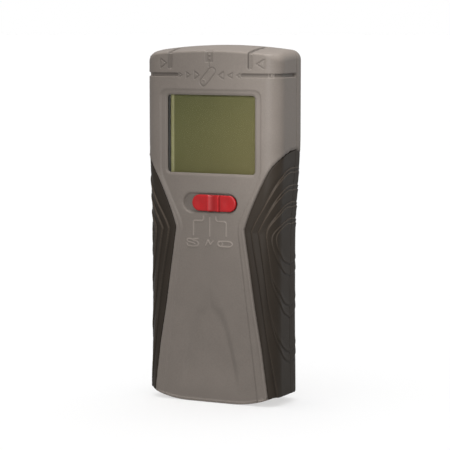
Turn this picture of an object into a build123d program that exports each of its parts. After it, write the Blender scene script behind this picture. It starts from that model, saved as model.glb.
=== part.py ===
"""Handheld wall detector: two moulded shells with rubber grips, a display, a three-position
mode slider, a side button, a battery door, and the boards, coil and battery inside.

Millimetres. +X is right seen from the front, the front faces -Y, +Z is up.
The origin is the bottom centre of the whole object's box.
"""
from build123d import *
import math
import os

# ---- driving dimensions of the body ----
LENGTH = 177.0              # bottom edge to the ridge of the top
HALF_WIDTH = 37.0           # at the sensor head
FRONT_Y = -16.0             # middle of the front face
REAR_Y = 16.0               # flat rear of the sensor head
SEAM_Y = 6.4                # where the two shells meet at the head
FRONT_SAG = 1.6             # how far the convex front falls back at its sides
FRONT_RADIUS = 8.0          # long front edges
REAR_RADIUS = 6.0           # long rear edges
WAIST_TUCK = 1.45           # each side is this much narrower below the head
REAR_TUCK = 1.2             # the handle's rear face is this much further forward
HANDLE_ROUNDING = 1.6       # added to the rear radius along the handle
FOOT_FLARE = 0.4            # each side widens this much at the foot
TUCK_LOW, TUCK_HIGH = 82.0, 134.0
REAR_TUCK_LOW = 75.0
CROWN_RADIUS = 260.0        # arch of the top, left to right
CROWN_FRONT_DROP = 2.6      # ridge to front top edge
CROWN_REAR_DROP = 1.2       # ridge to rear top edge
CROWN_CORNER = 4.0          # rounding of the two top corners, seen from the front
FOOT_FLAT = 13.0            # half length of the flat foot
FOOT_RADIUS = 52.0          # the foot curves up from there
FOOT_STEP = 4.2             # height of the body's underside beside the foot
WALL = 2.2                  # wall of the sensor head
HANDLE_WALL = 3.2           # wall of the handle, grip recess included
HEAD_FLOOR = 127.0          # the handle's thicker wall stops here
PROUD = 0.8                 # knob in front and glide pads behind stand out by this
# the seam seen from the side, in Y and Z: it runs forward along the handle
SEAM_BEND = [(SEAM_Y, 132.0), (5.6, 121.0), (4.1, 98.0), (2.8, 70.0), (2.3, 42.0), (2.5, 18.0), (3.6, -3.0)]

# ---- front face ----
PANEL_DEPTH = 0.6
PANEL_HALF, PANEL_TOP, PANEL_SHOULDER = 27.6, 155.2, 113.6
PANEL_WAIST, PANEL_WAIST_Z, PANEL_FOOT = 15.3, 88.6, 27.2
OPENING_HALF, OPENING_LOW, OPENING_HIGH = 24.2, 114.1, 152.7
LEDGE_Y = -13.4             # rear face of the wall around the display opening
SLOT_X, SLOT_WIDTH, SLOT_END, MARK_DEPTH = 22.0, 2.2, 165.4, 1.0
GROOVE_Z, GROOVE_HEIGHT, GROOVE_INNER = 162.5, 1.7, 17.3
SLIDER_Z, SLIDER_LENGTH, SLIDER_HEIGHT, SLIDER_FLOOR_Y = 99.5, 29.4, 9.2, -13.7
SLIDER_TRAVEL = 4.7
KNOB_LENGTH, KNOB_HEIGHT = 24.2, 8.1

# ---- grips ----
GRIP_DEPTH = 1.6
BORDER_FOOT = (32.0, 4.0)
BORDER_WAIST = (18.7, 86.9)
BORDER_UPPER = [(21.7, 94.8), (25.5, 103.3), (30.0, 112.4), (34.0, 118.8), (36.0, 122.6), (36.6, 128.0)]
REAR_BORDER = [(33.2, 4.0), (28.8, 86.9), (32.0, 105.0), (35.4, 118.5), (36.4, 128.0)]
GRIP_TOP = [(-16.5, 118.6), (SEAM_Y, 125.8), (16.5, 122.8)]

# ---- boards ----
MAIN_FRONT_Y, MAIN_REAR_Y = -7.0, -5.4
MAIN_HALF, MAIN_LOW, MAIN_HIGH = 30.0, 79.0, 159.0
BOARD_SCREWS = [(x, z) for z in (84.0, 156.5) for x in (-27.9, 27.9)]
SENSOR_FRONT_Y, SENSOR_REAR_Y = 11.4, 12.6
SENSOR_HALF, SENSOR_LOW, SENSOR_HIGH = 31.5, 118.0, 160.0
STAKES = [(x, z) for z in (121.5, 156.5) for x in (-28.6, 28.6)]
COIL_Z = 138.5
HOUSING_SCREWS = [(-28.0, 165.6), (28.0, 165.6), (-22.0, 12.5), (22.0, 12.5)]
SCREW_SEAT_Y = 11.0

# ---- battery bay ----
BATTERY_HALF, BATTERY_LOW, BATTERY_HIGH = 13.25, 7.0, 53.4
BATTERY_FRONT_Y, BATTERY_REAR_Y = -6.2, 11.3
BAY_HALF, BAY_LOW, BAY_HIGH, BAY_FRONT_Y, BAY_WALL = 14.1, 6.3, 64.8, -6.6, 1.2
DOOR_HALF, DOOR_HIGH, DOOR_THICK = 16.4, 66.0, 2.0
HINGE_Y, HINGE_Z, HINGE_END = 13.6, 7.2, 1.2
DOOR_GAP = 0.3
HANDLE_REAR_Y = REAR_Y - REAR_TUCK

# ---- side button ----
BUTTON_Y, BUTTON_Z, BUTTON_HALF_Y, BUTTON_HALF_Z = -1.9, 100.0, 3.0, 7.0
BUTTON_FACE_X, BUTTON_FLANGE_X, BUTTON_BACK_X = -36.55, -32.2, -31.4
BUTTON_GAP = 0.3


def smooth(t):
    t = min(max(t, 0.0), 1.0)
    return t * t * (3 - 2 * t)


def box(low, high):
    """Solid box between two corners."""
    size = [b - a for a, b in zip(low, high)]
    centre = [(a + b) / 2 for a, b in zip(low, high)]
    return Pos(*centre) * Box(*size)


def along_y(x, z, radius, y_low, y_high):
    """Cylinder parallel to Y."""
    return Pos(x, (y_low + y_high) / 2, z) * Rot(90, 0, 0) * Cylinder(radius, y_high - y_low)


def along_x(y, z, radius, x_low, x_high):
    """Cylinder parallel to X."""
    return Pos((x_low + x_high) / 2, y, z) * Rot(0, 90, 0) * Cylinder(radius, x_high - x_low)


def front_sketch(sketch, y_low, y_high):
    """Sketch drawn in X and Z, extruded from y_low to y_high."""
    return Pos(0, y_high, 0) * extrude(Plane.XZ * sketch, y_high - y_low)


def side_sketch(sketch, x_low, x_high):
    """Sketch drawn in Y and Z, extruded from x_low to x_high."""
    return Pos(x_low, 0, 0) * extrude(Plane.YZ * sketch, x_high - x_low)


def grouped(solids):
    return Compound(children=[s.solid() if hasattr(s, "solid") else s for s in solids])


# ---------------------------------------------------------------- body shape
def half_width(z):
    waist = WAIST_TUCK * (1 - smooth((z - TUCK_LOW) / (TUCK_HIGH - TUCK_LOW)))
    return HALF_WIDTH - waist + FOOT_FLARE * smooth((45.0 - z) / 40.0)


def handle_part(z):
    """1 along the handle, 0 at the sensor head."""
    return 1 - smooth((z - REAR_TUCK_LOW) / (TUCK_HIGH - REAR_TUCK_LOW))


def section(z, inset):
    """Horizontal outline of the body, moved inwards by inset."""
    w = half_width(z) - inset
    rear = REAR_Y - REAR_TUCK * handle_part(z) - inset
    front_mid, front_side = FRONT_Y + inset, FRONT_Y + FRONT_SAG + inset
    outline = [
        ThreePointArc((-w, front_side), (0, front_mid), (w, front_side)),
        Line((w, front_side), (w, rear)),
        Line((w, rear), (-w, rear)),
        Line((-w, rear), (-w, front_side)),
    ]
    face = make_face(outline)
    corners = face.vertices().sort_by(Axis.Y)
    face = fillet(corners[:2], FRONT_RADIUS - inset)
    corners = [v for v in face.vertices() if abs(v.Y - rear) < 1e-6]
    rear_radius = REAR_RADIUS + HANDLE_ROUNDING * handle_part(z) - inset
    face = fillet(corners, rear_radius)
    return Pos(0, 0, z) * face


def column(inset):
    """Stacked outlines, taller than the body at both ends."""
    levels = [-2, 8, 18, 30, 45, 75, 84, 92, 100, 108, 116, 124, 134, LENGTH + 2]
    faces = [section(z, inset).face() for z in levels]
    return loft(faces, ruled=True)


def crown(inset):
    """Disc whose rim is the arched top; its axis runs along Y far below."""
    axis_z = LENGTH - CROWN_RADIUS
    front_y, rear_y = FRONT_Y - 1.0, REAR_Y + 1.0
    span_front, span_rear = SEAM_Y - front_y, rear_y - SEAM_Y
    front_drop = CROWN_FRONT_DROP * (span_front / (SEAM_Y - FRONT_Y)) ** 2
    rear_drop = CROWN_REAR_DROP * (span_rear / (REAR_Y - SEAM_Y)) ** 2
    top = LENGTH - inset
    rim_front = ThreePointArc((front_y, top - front_drop), (SEAM_Y - span_front / 2, top - front_drop / 4),
                              (SEAM_Y, top))
    rim_rear = ThreePointArc((SEAM_Y, top), (SEAM_Y + span_rear / 2, top - rear_drop / 4),
                             (rear_y, top - rear_drop))
    outline = [
        rim_front,
        rim_rear,
        Line((rear_y, top - rear_drop), (rear_y, axis_z)),
        Line((rear_y, axis_z), (front_y, axis_z)),
        Line((front_y, axis_z), (front_y, top - front_drop)),
    ]
    profile = Plane.YZ * make_face(outline)
    return revolve(profile, Axis((0, 0, axis_z), (0, 1, 0)), 360)


def slab(inset):
    """Front view outline: curved foot below, rounded top corners."""
    w = HALF_WIDTH - inset
    low, step = inset, FOOT_STEP + inset
    rise_x = FOOT_FLAT + math.sqrt(FOOT_RADIUS ** 2 - (FOOT_RADIUS - FOOT_STEP) ** 2)
    mid_x = FOOT_FLAT + (rise_x - FOOT_FLAT) / 2
    mid_z = low + FOOT_RADIUS - math.sqrt(FOOT_RADIUS ** 2 - (mid_x - FOOT_FLAT) ** 2)
    radius = CROWN_CORNER
    slope = math.asin((w - radius) / CROWN_RADIUS)
    arc_x, arc_z = w - radius + radius * math.sin(slope), radius * math.cos(slope)
    corner_z = LENGTH - inset - arc_x ** 2 / (2 * CROWN_RADIUS) - arc_z
    corner_top = corner_z + arc_z
    outline = [
        Line((-FOOT_FLAT, low), (FOOT_FLAT, low)),
        ThreePointArc((FOOT_FLAT, low), (mid_x, mid_z), (rise_x, step)),
        Line((rise_x, step), (w, step)),
        Line((w, step), (w, corner_z)),
        CenterArc((w - radius, corner_z), radius, 0, 90 - math.degrees(slope)),
        Line((arc_x, corner_top), (arc_x - 4, LENGTH + 5)),
        Line((arc_x - 4, LENGTH + 5), (4 - arc_x, LENGTH + 5)),
        Line((4 - arc_x, LENGTH + 5), (-arc_x, corner_top)),
        CenterArc((radius - w, corner_z), radius, 90 + math.degrees(slope), 90 - math.degrees(slope)),
        Line((-w, corner_z), (-w, step)),
        Line((-w, step), (-rise_x, step)),
        ThreePointArc((-rise_x, step), (-mid_x, mid_z), (-FOOT_FLAT, low)),
    ]
    return front_sketch(make_face(outline), FRONT_Y - 2, REAR_Y + 2)


def outer(inset):
    return column(inset) & crown(inset) & slab(inset)


BODY = outer(0)
UNDER_GRIP = outer(GRIP_DEPTH)
HEAD_HOLLOW = outer(WALL)
HOLLOW = (HEAD_HOLLOW & box((-60, -60, HEAD_FLOOR), (60, 60, 200))) \
    + (outer(HANDLE_WALL) & box((-60, -60, -5), (60, 60, HEAD_FLOOR))) \
    + (HEAD_HOLLOW & box((-32.4, 0, SENSOR_LOW - 2), (32.4, 60, HEAD_FLOOR)))


def seam_side(far_y):
    """Everything on one side of the seam surface, out to far_y."""
    top, bottom = SEAM_BEND[0], SEAM_BEND[-1]
    seam = Spline(SEAM_BEND, tangents=[(0, -1), (0.06, -1)])
    rest = Polyline(bottom, (far_y, bottom[1]), (far_y, 200), (SEAM_Y, 200), top)
    return side_sketch(make_face([seam, rest]), -60, 60)


FRONT_HALF = seam_side(-60)
REAR_HALF = seam_side(60)


# ---------------------------------------------------------------- grips
def grip_zone(front):
    """Right-hand space that a grip fills, as two crossed outlines."""
    if front:
        foot, waist = BORDER_FOOT, BORDER_WAIST
        edge = [Line(foot, waist), Spline([waist] + BORDER_UPPER)]
        last = BORDER_UPPER[-1]
    else:
        edge = [Line(REAR_BORDER[0], REAR_BORDER[1]), Spline(REAR_BORDER[1:])]
        foot, last = REAR_BORDER[0], REAR_BORDER[-1]
    close = Polyline(last, (50, last[1]), (50, -3), (foot[0], -3), foot)
    from_front = front_sketch(make_face(edge + [close]), -30, 30)
    (y0, z0), (y1, z1), (y2, z2) = GRIP_TOP
    top_edge = [ThreePointArc((y0, z0), ((y0 + y1) / 2, (z0 + z1) / 2 + 2.0), (y1, z1)),
                ThreePointArc((y1, z1), ((y1 + y2) / 2, (z1 + z2) / 2 + 0.9), (y2, z2))]
    below = Polyline((y2, z2), (30, z2), (30, -5), (-30, -5), (-30, z0), (y0, z0))
    from_side = side_sketch(make_face(top_edge + [below]), 0, 60)
    return from_front & from_side


def grip(front, right):
    skin = BODY - UNDER_GRIP
    half = FRONT_HALF if front else REAR_HALF
    piece = (skin & grip_zone(front)) & half
    piece = max(piece.solids(), key=lambda s: s.volume)
    return piece if right else mirror(piece, Plane.YZ)


def oval(y, z, half_y, half_z):
    """Outline of the side button in Y and Z."""
    return Pos(y, z) * Rot(0, 0, 90) * SlotOverall(2 * half_z, 2 * half_y)


def button_hole():
    shape = oval(BUTTON_Y, BUTTON_Z, BUTTON_HALF_Y + BUTTON_GAP, BUTTON_HALF_Z + BUTTON_GAP)
    return side_sketch(shape, -45, -28)


GRIPS = {
    "front_grip_right": grip(True, True),
    "front_grip_left": grip(True, False),
    "rear_grip_right": grip(False, True),
    "rear_grip_left": grip(False, False),
}


# ---------------------------------------------------------------- front housing
def panel_cut():
    """Shallow centre panel that follows the convex front."""
    right = [(PANEL_HALF, PANEL_TOP), (PANEL_HALF, PANEL_SHOULDER), (PANEL_WAIST, PANEL_WAIST_Z),
             (PANEL_FOOT, -3.0)]
    points = right + [(-x, z) for x, z in reversed(right)]
    outline = make_face(Polyline(*points, close=True))
    corners = [v for v in outline.vertices() if v.Y > PANEL_WAIST_Z - 1 and v.Y < PANEL_TOP + 1]
    outline = fillet(corners, 3.0)
    return front_sketch(outline, -30, -10) - column(PANEL_DEPTH)


def guide_marks():
    """Two vertical guide slots that run over the top edge, and the grooves round the head."""
    deep = BODY - outer(MARK_DEPTH)
    marks = []
    for side in (-1, 1):
        slot = box((side * SLOT_X - SLOT_WIDTH / 2, -30, SLOT_END + SLOT_WIDTH / 2),
                   (side * SLOT_X + SLOT_WIDTH / 2, SEAM_Y - 2.0, 200))
        end = along_y(side * SLOT_X, SLOT_END + SLOT_WIDTH / 2, SLOT_WIDTH / 2, -30, SEAM_Y - 2.0)
        groove = box((min(side * GROOVE_INNER, side * 60), -30, GROOVE_Z - GROOVE_HEIGHT / 2),
                     (max(side * GROOVE_INNER, side * 60), SEAM_Y, GROOVE_Z + GROOVE_HEIGHT / 2))
        marks += [slot, end, groove]
    return deep & grouped_union(marks)


def grouped_union(shapes):
    result = shapes[0]
    for shape in shapes[1:]:
        result = result + shape
    return result


def front_housing():
    shell = (BODY & FRONT_HALF) - HOLLOW
    ledge = box((-27.6, -14.7, 110.6), (27.6, LEDGE_Y, 156.2))
    bosses = [along_y(x, z, 3.8, -14.0, SEAM_Y - 0.2) for x, z in HOUSING_SCREWS]
    bosses += [along_y(x, z, 2.1, -13.5, MAIN_FRONT_Y) for x, z in BOARD_SCREWS]
    bosses = [(boss - (BODY - HOLLOW)) for boss in bosses]
    shell = shell + ledge
    for boss in bosses:
        shell = shell + boss
    shell = shell - panel_cut() - guide_marks()
    opening = front_sketch(
        Pos(0, (OPENING_LOW + OPENING_HIGH) / 2)
        * RectangleRounded(2 * OPENING_HALF, OPENING_HIGH - OPENING_LOW, 1.7), -30, -12)
    pocket = box((-26.3, LEDGE_Y, 111.8), (26.3, -7.5, 155.0))
    recess = front_sketch(Pos(0, SLIDER_Z) * SlotOverall(SLIDER_LENGTH, SLIDER_HEIGHT), -30, SLIDER_FLOOR_Y)
    stem_slot = box((-5.9, -15, SLIDER_Z - 1.95), (5.9, -12, SLIDER_Z + 1.95))
    shell = shell - opening - pocket - recess - stem_slot - button_hole()
    for x, z in HOUSING_SCREWS:
        shell = shell - along_y(x, z, 1.0, -6.0, SEAM_Y)
    for x, z in BOARD_SCREWS:
        shell = shell - along_y(x, z, 0.8, -11.5, MAIN_FRONT_Y)
    for name in ("front_grip_right", "front_grip_left"):
        shell = shell - GRIPS[name]
    return shell


# ---------------------------------------------------------------- rear housing and door
def door_outline(grow):
    return box((-DOOR_HALF - grow, HANDLE_REAR_Y - DOOR_THICK - (0.1 if grow else 0), HINGE_Z - HINGE_END - grow),
               (DOOR_HALF + grow, HANDLE_REAR_Y + (5 if grow else 0), DOOR_HIGH + grow))


def rear_housing():
    shell = (BODY & REAR_HALF) - HOLLOW
    bay_outer = box((-BAY_HALF - BAY_WALL, BAY_FRONT_Y - BAY_WALL, BAY_LOW - BAY_WALL),
                    (BAY_HALF + BAY_WALL, 12.5, BAY_HIGH + BAY_WALL))
    bay_inner = box((-BAY_HALF, BAY_FRONT_Y, BAY_LOW), (BAY_HALF, 40, BAY_HIGH))
    lead_notch = box((-9.0, BAY_FRONT_Y - 3, BAY_HIGH - 1), (9.0, 6.0, BAY_HIGH + 3))
    shell = shell + (bay_outer & outer(HANDLE_WALL - 0.2) & REAR_HALF)
    shell = shell + (bay_outer & outer(HANDLE_WALL + 0.1) & FRONT_HALF)
    for x, z in HOUSING_SCREWS:
        boss = along_y(x, z, 3.8, SEAM_Y, 15.0) & BODY
        shell = shell + boss
    for x, z in STAKES:
        shell = shell + along_y(x, z, 2.2, SENSOR_REAR_Y, REAR_Y - 1.5)
        shell = shell + along_y(x, z, 1.1, SENSOR_FRONT_Y - 0.9, SENSOR_REAR_Y)
    shell = shell - bay_inner - lead_notch - door_outline(DOOR_GAP)
    shell = shell - along_x(HINGE_Y, HINGE_Z, HINGE_END + 0.3, -DOOR_HALF - DOOR_GAP, DOOR_HALF + DOOR_GAP)
    shell = shell - along_x(HINGE_Y, HINGE_Z, 0.78, -18.3, 18.3)
    for x, z in HOUSING_SCREWS:
        shell = shell - along_y(x, z, 1.5, 0, 30) - along_y(x, z, 2.7, SCREW_SEAT_Y, 30)
    for name in ("rear_grip_right", "rear_grip_left"):
        shell = shell - GRIPS[name]
    return shell


def battery_door():
    plate = door_outline(0.0)
    hinge_end = box((-DOOR_HALF, 10, HINGE_Z - HINGE_END), (DOOR_HALF, 20, HINGE_Z))
    plate = (plate - hinge_end) + (plate & along_x(HINGE_Y, HINGE_Z, HINGE_END, -DOOR_HALF, DOOR_HALF))
    plate = plate + along_x(HINGE_Y, HINGE_Z, 0.7, -17.9, 17.9)
    thumb = Pos(0, HANDLE_REAR_Y + 5.2, 60.0) * Rot(90, 0, 0) * Sphere(6.0)
    return plate - thumb


# ---------------------------------------------------------------- display
def lcd_window():
    return box((-26.0, LEDGE_Y, 112.1), (26.0, LEDGE_Y + 1.0, 154.7))


def lcd_glass():
    return box((-23.5, -11.4, 113.0), (23.5, -8.6, 153.4))


def lcd_polarizer():
    return box((-21.6, -11.6, 113.5), (22.9, -11.4, 152.6))


def lcd_reflector():
    return box((-21.6, -8.6, 117.0), (22.9, -8.4, 149.8))


def lcd_holder():
    frame_box = box((-26.0, LEDGE_Y + 1.1, 112.0), (26.0, MAIN_FRONT_Y, 154.8))
    cavity = box((-23.6, -14, 112.9), (23.6, -6, 153.5))
    ledges = [box((x, -8.4, 118.5), (x + 1.6, MAIN_FRONT_Y, 148.5)) for x in (-23.7, 22.1)]
    return (frame_box - cavity) + ledges[0] + ledges[1]


def zebra_connectors():
    return grouped([box((-20, -8.6, z), (20, MAIN_FRONT_Y, z + 2.4)) for z in (113.9, 150.4)])


# ---------------------------------------------------------------- mode slider
SLIDER_REST = SLIDER_TRAVEL / 2


def slider_knob():
    outline = Pos(SLIDER_REST, SLIDER_Z) * SlotOverall(KNOB_LENGTH, KNOB_HEIGHT)
    top_y = FRONT_Y - PROUD
    cap = front_sketch(outline, top_y, SLIDER_FLOOR_Y - 0.2)
    cap = chamfer(cap.faces().sort_by(Axis.Y)[0].edges(), 0.7)
    valley = Pos(SLIDER_REST, top_y - 4.3, SLIDER_Z) * Cylinder(5.0, 20)
    flats = [box((x0, top_y - 1, 80), (x1, top_y + 0.9, 120))
             for x0, x1 in ((SLIDER_REST - 20, SLIDER_REST - 3.3), (SLIDER_REST + 3.3, SLIDER_REST + 20))]
    stem = box((SLIDER_REST - 3.2, SLIDER_FLOOR_Y - 0.5, SLIDER_Z - 1.6),
               (SLIDER_REST + 3.2, -12.6, SLIDER_Z + 1.6))
    return cap - valley - flats[0] - flats[1] + stem


def slider_carrier():
    plate = box((SLIDER_REST - 8.5, -12.6, SLIDER_Z - 3.6), (SLIDER_REST + 8.5, -11.2, SLIDER_Z + 3.6))
    pocket = box((SLIDER_REST - 1.5, -12.4, SLIDER_Z - 1.15), (SLIDER_REST + 1.5, -11.0, SLIDER_Z + 1.15))
    return plate - pocket


def slide_switch():
    body = box((-6.4, -10.6, SLIDER_Z - 3.0), (6.4, MAIN_FRONT_Y, SLIDER_Z + 3.0))
    slot = box((-4.3, -11, SLIDER_Z - 1.4), (4.3, -9.0, SLIDER_Z + 1.4))
    return body - slot


def switch_lever():
    return box((SLIDER_REST - 1.4, -12.3, SLIDER_Z - 1.05), (SLIDER_REST + 1.4, -9.3, SLIDER_Z + 1.05))


# ---------------------------------------------------------------- power button
def power_button():
    shape = oval(BUTTON_Y, BUTTON_Z, BUTTON_HALF_Y, BUTTON_HALF_Z)
    cap = side_sketch(shape, BUTTON_FACE_X, BUTTON_FLANGE_X + 0.1)
    cap = fillet(cap.faces().sort_by(Axis.X)[0].edges(), 0.5)
    flange = side_sketch(oval(BUTTON_Y, BUTTON_Z, 3.8, 8.0), BUTTON_FLANGE_X, BUTTON_BACK_X)
    return cap + flange


def tact_switch():
    body = box((-29.5, MAIN_REAR_Y, BUTTON_Z - 3.2), (-25.5, 1.6, BUTTON_Z + 3.2))
    return body - along_x(BUTTON_Y, BUTTON_Z, 1.35, -30, -27.4)


def tact_plunger():
    return along_x(BUTTON_Y, BUTTON_Z, 1.2, BUTTON_BACK_X, -29.0)


# ---------------------------------------------------------------- main board
def main_board():
    board = box((-MAIN_HALF, MAIN_FRONT_Y, MAIN_LOW), (MAIN_HALF, MAIN_REAR_Y, MAIN_HIGH))
    for x, z in BOARD_SCREWS:
        board = board - along_y(x, z, 1.2, -20, 20)
    return board


def on_board(x, z, width, height, thick):
    """Component standing on the main board's rear face."""
    return box((x - width / 2, MAIN_REAR_Y, z - height / 2), (x + width / 2, MAIN_REAR_Y + thick, z + height / 2))


def controller_chip():
    return chamfer(on_board(0, 138.5, 12.0, 12.0, 1.4).faces().sort_by(Axis.Y)[-1].edges(), 0.3)


def amplifier_chips():
    return grouped([on_board(x, 145.0, 6.2, 5.0, 1.6) for x in (-16.0, 16.0)])


def chip_resistors():
    spots = [(-24 + 5 * i, 131.0) for i in range(4)] + [(9 + 5 * i, 131.0) for i in range(4)]
    spots += [(-12 + 6 * i, 90.0) for i in range(5)]
    return grouped([on_board(x, z, 2.0, 1.25, 0.55) for x, z in spots])


def electrolytic_capacitors():
    return grouped([along_y(22.0, z, 2.5, MAIN_REAR_Y, MAIN_REAR_Y + 6.8) for z in (94.0, 101.0, 108.0)])


def crystal():
    return fillet(on_board(-16.0, 122.0, 11.0, 4.6, 3.5).edges().filter_by(Axis.Y), 2.2)


def voltage_regulator():
    return on_board(14.0, 86.0, 6.5, 3.6, 1.7)


def calibration_trimmer():
    body = on_board(-14.0, 112.0, 6.8, 6.8, 4.6)
    screw_slot = box((-16.4, MAIN_REAR_Y + 4.0, 111.7), (-11.6, 5, 112.3))
    return body - screw_slot


def buzzer():
    body = along_y(9.0, 110.4, 8.0, MAIN_REAR_Y, MAIN_REAR_Y + 4.2)
    return body - along_y(9.0, 110.4, 1.0, MAIN_REAR_Y + 3.2, MAIN_REAR_Y + 5)


def screw(x, z, seat_y, head_radius, head_height, radius, length):
    """Screw driven towards the front, with a cross recess in its head."""
    head = along_y(x, z, head_radius, seat_y, seat_y + head_height)
    top = seat_y + head_height
    cross = [box((x - a, top - 0.8, z - b), (x + a, top + 1, z + b))
             for a, b in ((head_radius * 0.62, 0.3), (0.3, head_radius * 0.62))]
    return head - cross[0] - cross[1] + along_y(x, z, radius, seat_y - length, seat_y)


def board_screws():
    return grouped([screw(x, z, MAIN_REAR_Y, 1.9, 1.4, 1.0, 5.4) for x, z in BOARD_SCREWS])


def housing_screws():
    return grouped([screw(x, z, SCREW_SEAT_Y, 2.4, 1.6, 1.3, 15.0) for x, z in HOUSING_SCREWS])


PIN_X = [-6.35 + 2.54 * i for i in range(6)]
PIN_Z = 121.0


def link_pins():
    return grouped([box((x - 0.32, MAIN_FRONT_Y - 1.0, PIN_Z - 0.32), (x + 0.32, SENSOR_REAR_Y + 0.8, PIN_Z + 0.32))
                    for x in PIN_X])


def pin_holes(shape):
    for x in PIN_X:
        shape = shape - box((x - 0.32, -40, PIN_Z - 0.32), (x + 0.32, 40, PIN_Z + 0.32))
    return shape


def link_headers():
    low, high = PIN_X[0] - 1.27, PIN_X[-1] + 1.27
    bodies = [box((low, MAIN_REAR_Y, PIN_Z - 1.25), (high, MAIN_REAR_Y + 2.5, PIN_Z + 1.25)),
              box((low, SENSOR_FRONT_Y - 8.5, PIN_Z - 1.25), (high, SENSOR_FRONT_Y, PIN_Z + 1.25))]
    return grouped([pin_holes(body) for body in bodies])


# ---------------------------------------------------------------- sensing head
def sensor_board():
    board = box((-SENSOR_HALF, SENSOR_FRONT_Y, SENSOR_LOW), (SENSOR_HALF, SENSOR_REAR_Y, SENSOR_HIGH))
    for x, z in STAKES:
        board = board - along_y(x, z, 1.25, 0, 30)
    return pin_holes(board)


def sensing_plates():
    """Copper areas on the rear of the sensor board: two outer plates and a centre one."""
    spans = [(-24.5, -9.5), (-7.0, 7.0), (9.5, 24.5)]
    return grouped([box((a, SENSOR_REAR_Y, 125.0), (b, SENSOR_REAR_Y + 0.15, 157.5)) for a, b in spans])


def coil_bobbin():
    tube = along_y(0, COIL_Z, 8.8, 4.6, SENSOR_FRONT_Y)
    flanges = [along_y(0, COIL_Z, 14.0, y, y + 0.9) for y in (4.6, SENSOR_FRONT_Y - 0.9)]
    return tube + flanges[0] + flanges[1] - along_y(0, COIL_Z, 7.6, 0, 30)


def coil_winding():
    return along_y(0, COIL_Z, 13.0, 5.5, SENSOR_FRONT_Y - 0.9) - along_y(0, COIL_Z, 8.8, 0, 30)


def ferrite_core():
    return along_y(0, COIL_Z, 7.5, 4.9, SENSOR_FRONT_Y) - along_y(0, COIL_Z, 2.0, 0, 30)


def voltage_antenna():
    return box((-11.0, SENSOR_FRONT_Y - 0.4, 155.0), (11.0, SENSOR_FRONT_Y, 167.5))


def glide_pads():
    shape = [front_sketch(Pos(x, 147.5) * Rot(0, 0, 90) * SlotOverall(22.0, 5.0), REAR_Y, REAR_Y + PROUD)
             for x in (-24.0, 24.0)]
    return grouped(shape)


# ---------------------------------------------------------------- battery
def battery():
    case = box((-BATTERY_HALF, BATTERY_FRONT_Y, BATTERY_LOW), (BATTERY_HALF, BATTERY_REAR_Y, BATTERY_HIGH))
    case = fillet(case.edges().filter_by(Axis.Z), 2.0)
    middle = (BATTERY_FRONT_Y + BATTERY_REAR_Y) / 2
    small = Pos(-6.35, middle, BATTERY_HIGH + 1.2) * Cylinder(2.8, 2.4)
    large = Pos(6.35, middle, BATTERY_HIGH + 1.2) * Cylinder(3.8, 2.4)
    return case + small + large


def battery_snap():
    middle = (BATTERY_FRONT_Y + BATTERY_REAR_Y) / 2
    low = BATTERY_HIGH + 0.6
    body = box((-12.6, middle - 5.6, low), (12.6, middle + 5.6, low + 4.6))
    body = fillet(body.edges().filter_by(Axis.Z), 3.0)
    sockets = [Pos(x, middle, low + 0.9) * Cylinder(r, 1.8) for x, r in ((-6.35, 3.0), (6.35, 4.0))]
    return body - sockets[0] - sockets[1]


LEAD_RADIUS = 0.6
SNAP_TOP = BATTERY_HIGH + 5.2


def lead(side):
    """Insulated wire from the snap to the main board's rear face."""
    middle = (BATTERY_FRONT_Y + BATTERY_REAR_Y) / 2
    points = [Vector(side * 4.0, middle + 1.0, SNAP_TOP), Vector(side * 4.0, middle + 1.0, SNAP_TOP + 3.6),
              Vector(side * 4.6, middle - 1.0, SNAP_TOP + 8.0), Vector(side * 5.6, middle - 3.4, SNAP_TOP + 13.6),
              Vector(side * 6.2, middle - 4.4, SNAP_TOP + 20.0), Vector(side * 6.2, middle - 5.4, SNAP_TOP + 24.6),
              Vector(side * 6.2, MAIN_REAR_Y + 0.2, SNAP_TOP + 25.4)]
    radii = []
    for a, b, c in zip(points, points[1:], points[2:]):
        turn = math.radians((b - a).get_angle(c - b))
        radii.append(0.45 * min((b - a).length, (c - b).length) / math.tan(turn / 2))
    path = FilletPolyline(*points, radius=radii)
    start = Plane(origin=path @ 0, z_dir=path % 0)
    return sweep(start * Circle(LEAD_RADIUS), path=path)


def battery_foam():
    return box((-9.0, HANDLE_REAR_Y - DOOR_THICK - 1.2, 16.0), (9.0, HANDLE_REAR_Y - DOOR_THICK, 46.0))


def front_grip_left():
    return GRIPS["front_grip_left"] - button_hole()


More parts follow.
